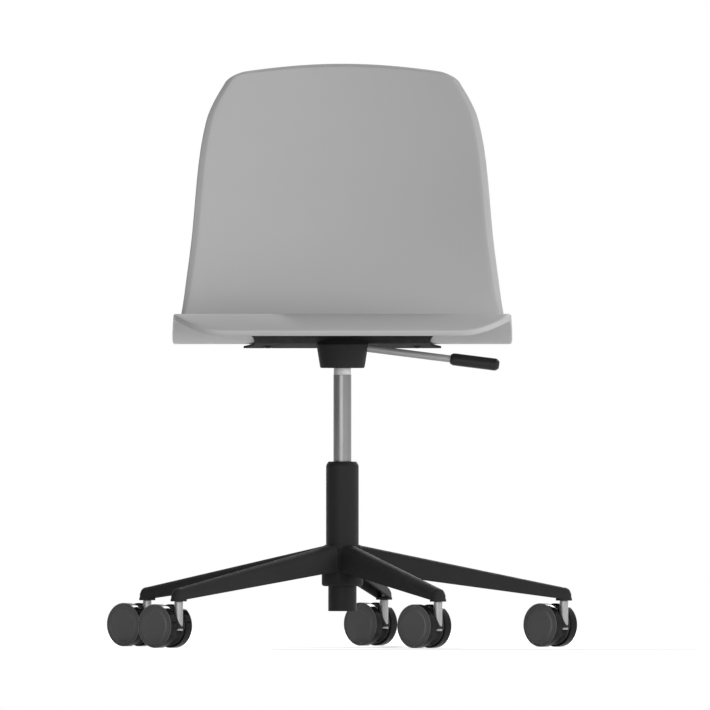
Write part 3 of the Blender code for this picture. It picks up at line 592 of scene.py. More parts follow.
@dataclass
class CopyTree:
    """A Geometry Nodes tree that sets copies of a pattern at places and gives them a finish."""

    name: str
    tree: NodeTree = field(init=False)
    inputs: dict[str, str] = field(init=False, default_factory=dict)

    def __post_init__(self) -> None:
        """Starts the tree with the inputs that every kind shares."""
        self.tree = bpy.data.node_groups.new(self.name, "GeometryNodeTree")
        self.tree.interface.new_socket("Geometry", in_out="OUTPUT", socket_type="NodeSocketGeometry")
        self.add_inputs(Geometry="Geometry", Pattern="Object", Finish="Material")

    def add_inputs(self, **kinds: str) -> None:
        """Adds named inputs.

        Args:
            kinds: The kind of each, named with underscores for spaces.
        """
        for label, kind in kinds.items():
            label = label.replace("_", " ")
            made = self.tree.interface.new_socket(label, in_out="INPUT", socket_type=f"NodeSocket{kind}")
            self.inputs[label] = made.identifier

    def node(self, kind: str, **links: NodeSocket | float) -> Node:
        """Adds a node with links or numbers for its inputs, named with underscores for spaces."""
        return feed(self.tree, self.tree.nodes.new(kind), **links)

    def end(
        self, entry: Node, points: NodeSocket, turn: NodeSocket, beside: NodeSocket | None = None
    ) -> None:
        """Sets the copies on their points, makes them real and gives them their finish.

        Args:
            entry: The group's input node.
            points: The places.
            turn: Each copy's turn.
            beside: Geometry that is kept beside the copies.
        """
        pattern = self.node("GeometryNodeObjectInfo", Object=entry.outputs["Pattern"])
        facing = self.node("FunctionNodeEulerToRotation", Euler=turn)
        copies = self.node(
            "GeometryNodeInstanceOnPoints",
            Points=points,
            Instance=pattern.outputs["Geometry"],
            Rotation=facing.outputs[0],
        )
        gathered = self.tree.nodes.new("GeometryNodeJoinGeometry")
        self.tree.links.new(copies.outputs[0], gathered.inputs[0])
        if beside is not None:
            self.tree.links.new(beside, gathered.inputs[0])
        real = self.node("GeometryNodeRealizeInstances", Geometry=gathered.outputs[0])
        finish = entry.outputs["Finish"]
        dressed = self.node("GeometryNodeSetMaterial", Geometry=real.outputs[0], Material=finish)
        leave = self.tree.nodes.new("NodeGroupOutput")
        self.tree.links.new(dressed.outputs[0], leave.inputs[0])

    def run(self, mesh: Mesh, pattern: Mesh, finish: Finish, **values: float | int | Vector) -> Mesh:
        """Makes the copies.

        Args:
            mesh: The tree's geometry input.
            pattern: The form to copy.
            finish: The finish of the result.
            values: The tree's other inputs, named with underscores for spaces.

        Returns:
            A plain mesh.
        """
        host, model = scratch(mesh), scratch(pattern)
        step = host.modifiers.new(self.name, "NODES")
        step.node_group = self.tree
        step[self.inputs["Pattern"]] = model
        step[self.inputs["Finish"]] = finish.material()
        for label, value in values.items():
            step[self.inputs[label.replace("_", " ")]] = value
        return carried_out(host, [model])


def ring_tree() -> CopyTree:
    """Copies in a ring round Z, beside the geometry that comes in.

    Returns:
        The tree, with the inputs Count, Radius, First Angle and Centre.
    """
    made = CopyTree("ring_of_copies")
    made.add_inputs(Count="Int", Radius="Float", First_Angle="Float", Centre="Vector")
    entry = made.tree.nodes.new("NodeGroupInput")
    index = made.node("GeometryNodeInputIndex").outputs[0]
    turns = add_math(made.tree, "MULTIPLY", index, math.tau)
    step = add_math(made.tree, "DIVIDE", turns, entry.outputs["Count"])
    angle = add_math(made.tree, "ADD", step, entry.outputs["First Angle"])
    x, y = (
        add_math(made.tree, "MULTIPLY", add_math(made.tree, wave, angle), entry.outputs["Radius"])
        for wave in ("COSINE", "SINE")
    )
    out = made.node("ShaderNodeCombineXYZ", X=x, Y=y)
    shift = made.tree.nodes.new("ShaderNodeVectorMath")
    put(made.tree, shift.inputs[0], out.outputs[0])
    put(made.tree, shift.inputs[1], entry.outputs["Centre"])
    places = made.node("GeometryNodePoints", Count=entry.outputs["Count"], Position=shift.outputs[0])
    turn = made.node("ShaderNodeCombineXYZ", Z=angle)
    made.end(entry, places.outputs[0], turn.outputs[0], entry.outputs["Geometry"])
    return made


def placed_tree() -> CopyTree:
    """Copies at the points of a mesh, each turned by the point's turn attribute.

    Returns:
        The tree.
    """
    made = CopyTree("copies_at_places")
    entry = made.tree.nodes.new("NodeGroupInput")
    turn = made.tree.nodes.new("GeometryNodeInputNamedAttribute")
    turn.data_type = "FLOAT_VECTOR"
    turn.inputs["Name"].default_value = "turn"
    made.end(entry, entry.outputs["Geometry"], turn.outputs[0])
    return made


def places_mesh(places: Sequence[tuple[Vector, Vector]]) -> Mesh:
    """Points for copies to stand on.

    Args:
        places: Each copy's place and its turn as three angles.

    Returns:
        A mesh of points with the attribute turn.
    """
    mesh = bpy.data.meshes.new("places")
    mesh.from_pydata([place for place, _ in places], [], [])
    turns = mesh.attributes.new("turn", "FLOAT_VECTOR", "POINT")
    turns.data.foreach_set("vector", [value for _, turn in places for value in turn])
    return mesh


@dataclass
class Showroom:
    """Takes finished forms, dresses them, and sets them on the bodies that carry them."""

    column: Vector
    rings: CopyTree = field(default_factory=ring_tree)
    copies: CopyTree = field(default_factory=placed_tree)

    def show(
        self,
        name: str,
        mesh: Mesh,
        body: str,
        finishes: Sequence[Finish],
        stands_for: Sequence[str] = (),
        sharp: float = 35.0,
    ) -> None:
        """Makes a piece of a form.

        Args:
            name: The piece's name.
            mesh: Its form, from the column's foot.
            body: The body it moves with.
            finishes: Its finishes, in the order of its faces' material numbers.
            stands_for: The nodes it replaces.
            sharp: Edges that bend more than this many degrees stay crisp.
        """
        mesh.transform(Matrix.Translation(self.column))
        mesh.name = name
        numbers = [0] * len(mesh.polygons)
        mesh.polygons.foreach_get("material_index", numbers)
        mesh.materials.clear()
        for finish in finishes:
            mesh.materials.append(finish.material())
        mesh.polygons.foreach_set("material_index", numbers)
        mesh.shade_smooth()
        mesh.set_sharp_from_angle(angle=math.radians(sharp))
        piece = bpy.data.objects.new(name, mesh)
        bpy.context.scene.collection.objects.link(piece)
        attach(piece, body)
        if stands_for:
            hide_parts(*stands_for)
        LOG.info("%s: %d faces on %s", name, len(mesh.polygons), body)


@dataclass
class Assembly:
    """A sub-assembly, with the room that it shows its pieces in."""

    room: Showroom


@dataclass
class SeatShell(Assembly):
    """The one-piece seat and back: a lofted sheet with an even wall and a rolled rim."""

    front_reach: float = 0.2268
    wall: float = 0.010
    edge_rim: tuple[tuple[float, float], ...] = (
        (0.003, 0.0),
        (0.0018, 0.0002),
        (0.0008, 0.0007),
        (0.0002, 0.0014),
        (0.0, 0.0023),
        (0.0, 0.005),
    )
    back_rim: tuple[tuple[float, float], ...] = (
        (0.0080, 0.0),
        (0.0073, 0.0002),
        (0.0046, 0.0022),
        (0.0019, 0.0042),
        (0.0006, 0.0052),
        (0.0, 0.0064),
    )
    rear_round: float = 0.0022
    edge_pitch: float = math.radians(36.5)
    dip_pitch: float = math.radians(16.0)
    crest_r: float = 0.1327
    dish_r: float = 0.760
    heel_r: float = 0.100
    back_length: float = 0.3609
    back_pitch_low: float = math.radians(75.0)
    back_pitch_top: float = math.radians(68.0)
    back_bow_r: float = 0.620
    bow_blend: float = 0.150
    front_half: float = 0.251
    rear_half: float = 0.2535
    heel_half: float = 0.2356
    middle_half: float = 0.2258
    middle_up: float = 0.0716
    shoulder_half: float = 0.2032
    shoulder_up: float = 0.2676
    top_half: float = 0.1587
    top_corner: float = 0.018
    top_corner_start: float = 0.87
    top_corner_power: float = 2.0
    top_arch: float = 0.0165
    arch_reach: float = 0.15
    front_corner: float = 0.075
    front_corner_power: float = 1.75
    front_corner_side: float = 0.72
    shoulder_length: float = 0.118
    side_crowding: float = 0.25
    columns: int = 40
    row_counts: tuple[int, ...] = (18, 12, 20, 14, 18, 8)
    search_steps: int = 50
    probe: float = 0.0005
    edge_z: float = 0.0

    @property
    def crest_length(self) -> float:
        """Length of the side line from the front edge over the crest."""
        return self.crest_r * (self.edge_pitch + self.dip_pitch)

    @property
    def dish_length(self) -> float:
        """Length of the side line through the dish of the seat."""
        return self.dish_r * self.dip_pitch

    @property
    def heel_length(self) -> float:
        """Length of the side line round the heel."""
        return self.heel_r * self.back_pitch_low

    @property
    def heel_start(self) -> float:
        """Where the heel begins on the side line."""
        return self.crest_length + self.dish_length

    @property
    def heel_end(self) -> float:
        """Where the back begins on the side line."""
        return self.heel_start + self.heel_length

    @property
    def length(self) -> float:
        """Length of the whole side line."""
        return self.heel_end + self.back_length

    def side_line(self, along: float) -> tuple[float, float, float]:
        """A point of the side line, a chain of four tangent arcs.

        Args:
            along: Length from the front edge.

        Returns:
            Its distance behind and height over the front edge, and its pitch.
        """
        arcs = (
            (self.crest_length, self.edge_pitch, -self.dip_pitch),
            (self.dish_length, -self.dip_pitch, 0.0),
            (self.heel_length, 0.0, self.back_pitch_low),
            (self.back_length, self.back_pitch_low, self.back_pitch_top),
        )
        y = z = 0.0
        pitch = self.edge_pitch
        for length, start, end in arcs:
            run = min(along, length)
            bend = (end - start) / length
            pitch = start + bend * run
            y += (math.sin(pitch) - math.sin(start)) / bend
            z -= (math.cos(pitch) - math.cos(start)) / bend
            along -= run
            if along <= 0:
                break
        return y, z, pitch

    def under(self, y: float) -> float:
        """Height of the seat's underside over the front edge.

        Args:
            y: Distance behind the column.

        Returns:
            The height.
        """
        low, high = 0.0, self.heel_start
        for _ in range(self.search_steps):
            middle = (low + high) / 2
            line_y, line_z, pitch = self.side_line(middle)
            if line_y - self.front_reach + self.wall * math.sin(pitch) < y:
                low = middle
            else:
                high = middle
        return line_z - self.wall * math.cos(pitch)

    def half_width(self, along: float) -> float:
        """Half the shell's width before its corners are rounded, on a smooth curve through stations.

        Args:
            along: Length along the side line.

        Returns:
            The half width.
        """
        stations = (
            (0.0, self.front_half),
            (self.heel_start, self.rear_half),
            (self.heel_end, self.heel_half),
            (self.heel_end + self.middle_up, self.middle_half),
            (self.heel_end + self.shoulder_up, self.shoulder_half),
            (self.length, self.top_half),
        )
        last = len(stations) - 1
        slopes = []
        for i in range(last + 1):
            before, after = stations[max(i - 1, 0)], stations[min(i + 1, last)]
            slopes.append((after[1] - before[1]) / (after[0] - before[0]))
        i = max(k for k in range(last) if k == 0 or stations[k][0] <= along)
        (x0, y0), (x1, y1) = stations[i], stations[i + 1]
        t = (along - x0) / (x1 - x0)
        blend = t * t * (3 - 2 * t)
        ease = t * (1 - t) ** 2 * slopes[i] + t * t * (t - 1) * slopes[i + 1]
        return y0 + (y1 - y0) * blend + ease * (x1 - x0)

    @staticmethod
    def rounded(across: float, beyond: float, start: float, power: float) -> tuple[float, float]:
        """Pulls a point of a square corner in to a superellipse.

        Args:
            across: Share of the half width.
            beyond: Share of the corner's length, 1 at the outer edge.
            start: Share of the half width where the corner begins.
            power: The superellipse's power.

        Returns:
            The two shares, pulled in.
        """
        wide = (abs(across) - start) / (1 - start)
        if beyond <= 0 or wide <= 0:
            return across, beyond
        pull = max(wide, beyond) / (wide**power + beyond**power) ** (1 / power)
        return math.copysign(start + wide * pull * (1 - start), across), beyond * pull

    def row_place(self, share: float) -> float:
        """Length along the side line of a share of the grid's rows.

        Args:
            share: From 0 at the front edge to 1 at the top.

        Returns:
            The length.
        """
        lengths = (
            self.crest_length,
            self.dish_length,
            self.heel_length,
            self.back_length - self.shoulder_length - self.top_corner,
            self.shoulder_length,
            self.top_corner,
        )
        row = share * sum(self.row_counts)
        along = 0.0
        for rows, length in zip(self.row_counts, lengths):
            along += length * min(row / rows, 1.0)
            row = max(row - rows, 0.0)
        return along

    def surface(self, across: float, along: float) -> Vector:
        """A point of the sitting surface before its corners are rounded.

        Args:
            across: Share of the half width, from -1 to 1.
            along: Length along the side line.

        Returns:
            The point, from the column's foot.
        """
        y, z, _ = self.side_line(along)
        x = across * self.half_width(along)
        blend = smooth((along - self.heel_start) / (self.heel_length + self.bow_blend))
        bow = blend * x * x / (2 * self.back_bow_r)
        return Vector((x, y - self.front_reach - bow, self.edge_z + z))

    def point(self, across: float, along: float) -> tuple[Vector, Vector]:
        """A point of the sitting surface, with the corners rounded, and its outward direction.

        Args:
            across: Share of the half width, from -1 to 1.
            along: Length along the side line.

        Returns:
            The point and its normal.
        """
        front = 1 - along / self.front_corner
        across, front = self.rounded(across, front, self.front_corner_side, self.front_corner_power)
        along = (1 - front) * self.front_corner
        top = 1 - (self.length - along) / self.top_corner
        across, top = self.rounded(across, top, self.top_corner_start, self.top_corner_power)
        along = self.length - (1 - top) * self.top_corner
        near_top = max(1 - (self.length - along) / self.arch_reach, 0.0)
        along -= self.top_arch * across**2 * near_top**2
        step = self.probe
        sideways = self.surface(across + step, along) - self.surface(across - step, along)
        lengthways = self.surface(across, along + step) - self.surface(across, along - step)
        return self.surface(across, along), sideways.cross(lengthways).normalized()

    def rim(self, along: float) -> Profile:
        """The section of the rim: plain at the seat's edge, wide and sloping round the back.

        Args:
            along: Length along the side line.

        Returns:
            Distance from the outline and depth under the sitting surface, from the inside out.
        """
        share = smooth((along - self.heel_start) / self.heel_length)
        rims = zip(self.edge_rim, self.back_rim)
        return [(a + (c - a) * share, b + (d - b) * share) for (a, b), (c, d) in rims]

    def grid_place(self, column: int, row: int) -> tuple[float, float, int]:
        """Where a corner of the grid lies.

        Args:
            column: Its column, with the rim's loops at both ends.
            row: Its row, with the rim's loops at both ends.

        Returns:
            Its share of the half width, its length along the side line, and its loop in the rim.
        """
        loops = len(self.edge_rim) - 1
        rows = sum(self.row_counts)
        front, top = self.edge_rim, self.back_rim
        row_loop = max(loops - row, row - rows - loops, 0)
        if row < loops:
            along = front[row_loop][0]
        elif row > rows + loops:
            along = self.length - top[row_loop][0]
        else:
            inner = self.length - front[0][0] - top[0][0]
            along = front[0][0] + inner * self.row_place((row - loops) / rows) / self.length
        half = self.half_width(along)
        rim = self.rim(along)
        column_loop = max(loops - column, column - self.columns - loops, 0)
        if column_loop:
            across = math.copysign(1 - rim[column_loop][0] / half, column - loops - 1)
        else:
            share = 2 * (column - loops) / self.columns - 1
            crowding = 1 + self.side_crowding - self.side_crowding * share * share
            across = share * crowding * (1 - rim[0][0] / half)
        return across, along, max(row_loop, column_loop)

    def moulding(self) -> Mesh:
        """Lofts both faces of the shell and closes them at the rim.

        Returns:
            The closed form.
        """
        loops = len(self.edge_rim) - 1
        made = bmesh.new()
        upper: list[list[BMVert]] = []
        lower: list[list[BMVert]] = []
        for row in range(sum(self.row_counts) + 2 * loops + 1):
            upper.append([])
            lower.append([])
            for column in range(self.columns + 2 * loops + 1):
                across, along, loop = self.grid_place(column, row)
                point, normal = self.point(across, along)
                inset, depth = self.rim(along)[loop]
                upper[-1].append(made.verts.new(point - depth * normal))
                if loop == loops:
                    lower[-1].append(upper[-1][-1])
                    continue
                short = max(self.rear_round - inset, 0.0) if loop else 0.0
                rear = self.rear_round - math.sqrt(self.rear_round**2 - short**2)
                lower[-1].append(made.verts.new(point - (self.wall - rear) * normal))
        for face in (upper, lower):
            for first, second in zip(face, face[1:]):
                bridge(made, first, second, closed=False)
        bmesh.ops.recalc_face_normals(made, faces=made.faces)
        return to_mesh(made)

    def build(self, plate: SeatPlate) -> None:
        """Builds the shell with its rolled rim and its four screw bosses.

        Args:
            plate: The plate whose screws the bosses hold.
        """
        top = plate.stand_off + self.wall / 4
        outer, bore = plate.screw_r + plate.boss_wall, plate.screw_r + GAP
        foot = outer + plate.boss_flare
        corners = [(bore, top, 0.0), (foot, top, 0.0), (outer, GAP, PLAIN), (bore, GAP, CRISP)]
        boss = turned(corners, ring=True)
        bosses = self.room.copies.run(places_mesh(plate.screw_places()), boss, SHELL_GREY)
        shell = joined([self.moulding(), bosses])
        self.room.show("shell_moulding", shell, "seat", [SHELL_GREY], ["seat_shell"], sharp=60.0)


@dataclass
class SeatPlate(Assembly):
    """The pressed steel plate under the seat, bent once and waisted, with its four screws."""

    shell: SeatShell
    under_z: float = 0.4546
    front: float = 0.110
    rear: float = 0.105
    bend: float = -0.005
    bend_round: float = 0.006
    end_half: float = 0.151
    waist_half: float = 0.1315
    thickness: float = 0.003
    corner: float = 0.009
    stand_off: float = 0.0032
    edge_round: float = 0.0006
    screw_front_inset: float = 0.020
    screw_rear_inset: float = 0.045
    screw_half_spread: float = 0.112
    screw_r: float = 0.0025
    screw_head_r: float = 0.006
    screw_head: float = 0.0026
    screw_bite: float = 0.003
    boss_wall: float = 0.0055
    boss_flare: float = 0.002
    socket_r: float = 0.0022
    socket_sides: int = 6
    socket_roof: float = 0.3
    corner_steps: int = 6
    edge_bend: float = math.radians(50.0)
    columns: int = 14
    rows: int = 24
    bend_top: float = field(init=False)
    front_slope: float = field(init=False)
    rear_slope: float = field(init=False)

    def __post_init__(self) -> None:
        """Sets the shell's height from the plate that carries it."""
        self.bend_top = self.shell.under(self.bend) - self.stand_off
        front_top = self.shell.under(-self.front) - self.stand_off
        rear_top = self.shell.under(self.rear) - self.stand_off
        self.front_slope = (front_top - self.bend_top) / (self.bend + self.front)
        self.rear_slope = (self.bend_top - rear_top) / (self.rear - self.bend)
        top_at_column = self.bend_top + self.rear_slope * self.bend
        self.shell.edge_z = self.under_z + self.thickness - top_at_column

    def top(self, y: float) -> float:
        """Height of the plate's upper face, whose bend has a small radius.

        Args:
            y: Distance behind the column.

        Returns:
            The height.
        """
        from_bend = y - self.bend
        slope = self.front_slope if from_bend < 0 else self.rear_slope
        ease = max(self.bend_round - abs(from_bend), 0.0) ** 2 / (4 * self.bend_round)
        straight = self.shell.edge_z + self.bend_top - slope * from_bend
        return straight + ease * (self.front_slope - self.rear_slope)

    def underside(self, slope: float) -> Matrix:
        """The plane of the plate's underside on one side of the bend.

        Args:
            slope: That side's slope.

        Returns:
            Its place at the bend, with Y along the plate.
        """
        drop = (self.thickness + GAP) / math.cos(math.atan(slope))
        height = self.shell.edge_z + self.bend_top - drop
        return Matrix.Translation((0.0, self.bend, height)) @ Matrix.Rotation(-math.atan(slope), 4, "X")

    def screw_places(self) -> list[tuple[Vector, Vector]]:
        """Where the screws stand.

        Returns:
            The place on the plate's upper face and the turn of each.
        """
        front = (-self.front + self.screw_front_inset, -math.atan(self.front_slope))
        rear = (self.rear - self.screw_rear_inset, -math.atan(self.rear_slope))
        return [
            (Vector((side * self.screw_half_spread, y, self.top(y))), Vector((tilt, 0.0, 0.0)))
            for y, tilt in (front, rear)
            for side in (-1, 1)
        ]

    def build(self) -> None:
        """Builds the plate and its screws."""
        self._build_pressing()
        self._build_screws()

    def _build_pressing(self) -> None:
        """Builds the plate from a bent sheet with rounded corners."""
        sheet = bmesh.new()
        bmesh.ops.create_grid(sheet, x_segments=self.columns, y_segments=self.rows, size=1.0)
        for point in sheet.verts:
            lengthwise = point.co.y
            reach = self.front + self.bend if lengthwise < 0 else self.rear - self.bend
            y = self.bend + lengthwise * reach
            half = self.waist_half + (self.end_half - self.waist_half) * lengthwise**2
            point.co = (point.co.x * half, y, self.top(y))
        corners = [point for point in sheet.verts if len(point.link_edges) == 2]
        bmesh.ops.bevel(
            sheet,
            geom=corners,
            offset=self.corner,
            segments=self.corner_steps,
            profile=ROUND_BEVEL,
            affect="VERTICES",
        )
        worked = scratch(to_mesh(sheet))
        wall = worked.modifiers.new("wall", "SOLIDIFY")
        wall.thickness = self.thickness
        wall.offset = -1.0
        wall.use_even_offset = True
        edge = worked.modifiers.new("edge", "BEVEL")
        edge.width = self.edge_round
        edge.segments = EDGE_STEPS
        edge.limit_method = "ANGLE"
        edge.angle_limit = self.edge_bend
        self.room.show("plate_pressing", carried_out(worked), "seat", [PLATE_BLACK], ["seat_plate"])

    def _build_screws(self) -> None:
        """Builds the four screws, whose heads have a hex socket."""
        head = -self.thickness - GAP
        tip = self.screw_bite + self.stand_off - GAP
        crown = self.screw_head / 2
        corners = [
            (0.0, tip, 0.0),
            (self.screw_r, tip, SLIGHT),
            (self.screw_r, head, CRISP),
            (self.screw_head_r, head, FAINT),
            (self.screw_head_r, head - self.screw_head + crown, crown),
            (self.screw_head_r - crown, head - self.screw_head, crown),
            (0.0, head - self.screw_head, 0.0),
        ]
        roof = head - self.socket_roof * self.screw_head
        socket = cylinder(self.socket_r, head - 2 * self.screw_head, roof, self.socket_sides)
        screw = combined(turned(corners), [socket])
        places = self.screw_places()
        screws = self.room.copies.run(places_mesh(places), screw, SCREW_BLACK)
        nodes = [f"plate_screw_{number}" for number in range(1, len(places) + 1)]
        self.room.show("seat_screws", screws, "seat", [SCREW_BLACK], nodes)


@dataclass
class Mechanism(Assembly):
    """The conical housing under the plate, and the height lever with its grip."""

    bottom_r: float = 0.0332
    top_r: float = 0.0389
    height: float = 0.0365
    bottom_z: float = 0.418
    edge_round: float = 0.0028
    lip: float = 0.003
    mouth_r: float = 0.015
    bush_r: float = 0.018
    shoulder_below: float = 0.0007
    shoulder_round: float = 0.0024
    neck_step: float = 0.0007
    lever_r: float = 0.0054
    lever_droop: float = math.radians(7.2)
    pivot_x: float = 0.026
    pivot_z: float = 0.4489
    pin_r: float = 0.002
    lever_room: float = 0.0022
    paddle_low: tuple[float, float, float] = (-0.007, -0.0045, 0.4503)
    paddle_high: tuple[float, float, float] = (0.028, 0.0045, 0.4539)
    grip_start: float = 0.137
    grip_length: float = 0.0738
    grip_hold: float = 0.060
    grip_r: float = 0.0092
    grip_taper: float = 0.0046
    grip_end_r: float = 0.0055
    grip_mouth_r: float = 0.0070
    grip_nose_round: float = 0.003
    grip_round: float = 0.006
    grip_steps: int = 8
    cut_reach: float = 0.110

    def build(self, plate: SeatPlate) -> None:
        """Builds the housing and the lever.

        Args:
            plate: The plate that the housing stands under.
        """
        self._build_housing(plate)
        pivot = Matrix.Translation((self.pivot_x, 0.0, self.pivot_z))
        along = pivot @ Matrix.Rotation(self.lever_droop + QUARTER, 4, "Y")
        self._build_bar(along, pivot @ Matrix.Rotation(QUARTER, 4, "X"))
        self._build_grip(along)

    def _build_housing(self, plate: SeatPlate) -> None:
        """Builds the housing, trimmed to the plate and slotted for the lever.

        Args:
            plate: The plate that the housing stands under.
        """
        top = plate.under_z + self.height / 2
        shoulder_z = plate.under_z - self.shoulder_below
        corners = [
            (self.bush_r + GAP, top, 0.0),
            (self.top_r - self.neck_step, top, 0.0),
            (self.top_r - self.neck_step, shoulder_z, 0.0),
            (self.top_r, shoulder_z - self.neck_step, self.shoulder_round),
            (self.bottom_r, self.bottom_z, self.edge_round),
            (self.mouth_r, self.bottom_z, PLAIN),
            (self.mouth_r, self.bottom_z + self.lip, 0.0),
            (self.bush_r + GAP, self.bottom_z + self.lip, 0.0),
        ]
        reach = self.cut_reach
        front = rounded_box((-reach, -reach, 0.0), (reach, 0.0, reach), 0.0)
        rear = rounded_box((-reach, 0.0, 0.0), (reach, reach, reach), 0.0)
        slot_floor = self.pivot_z - self.lever_r - self.lever_room
        slot_half = self.lever_r + RUNNING_GAP
        slot = rounded_box((0.0, -slot_half, slot_floor), (reach, slot_half, slot_floor + reach), WIDE)
        cutters = [
            to_mesh(front, plate.underside(plate.front_slope)),
            to_mesh(rear, plate.underside(plate.rear_slope)),
            to_mesh(slot),
        ]
        housing = combined(turned(corners, FINE, ring=True), cutters)
        for face in housing.polygons:
            face.material_index = int(face.center.z > shoulder_z)
        finishes = [NYLON_BLACK, PLATE_BLACK]
        self.room.show("housing_cone", housing, "seat", finishes, ["mechanism_housing"], sharp=30.0)

    def _build_bar(self, along: Matrix, across: Matrix) -> None:
        """Builds the lever's rod and its paddle over the valve, both bored for the pivot pin.

        Args:
            along: The lever's axis, from the pivot.
            across: The pin's axis.
        """
        rod_end = self.grip_start + self.grip_hold - GAP
        corners = [
            (0.0, rod_end, 0.0),
            (self.lever_r, rod_end, SOFT),
            (self.lever_r, -self.pin_r, BOLD),
            (0.0, -self.pin_r, 0.0),
        ]
        rod = turned(corners, place=along)
        paddle = to_mesh(rounded_box(self.paddle_low, self.paddle_high, SLIGHT))
        eye_r, eye_half = self.pin_r + GAP, 2 * self.lever_r
        bar = [
            combined(form, [cylinder(eye_r, -eye_half, eye_half, place=across)]) for form in (rod, paddle)
        ]
        self.room.show("lever_bar", joined(bar), "lever", [LEVER_STEEL], ["lever_rod"])

    def _build_grip(self, along: Matrix) -> None:
        """Builds the grip on the lever's end.

        Args:
            along: The lever's axis, from the pivot.
        """
        end = self.grip_start + self.grip_length
        hold = self.grip_start + self.grip_hold
        bore = self.lever_r + GAP
        corners = [
            (0.0, end, 0.0),
            (self.grip_end_r, end, self.grip_nose_round),
            (self.grip_r, end - self.grip_taper, self.grip_round),
            (self.grip_r, self.grip_start + self.grip_taper, self.grip_round),
            (self.grip_mouth_r, self.grip_start, BOLD),
            (bore, self.grip_start, FAINT),
            (bore, hold, 0.0),
            (0.0, hold, 0.0),
        ]
        grip = turned(corners, steps=self.grip_steps, place=along)
        self.room.show("lever_handle", grip, "lever", [GRIP_BLACK], ["lever_grip"])


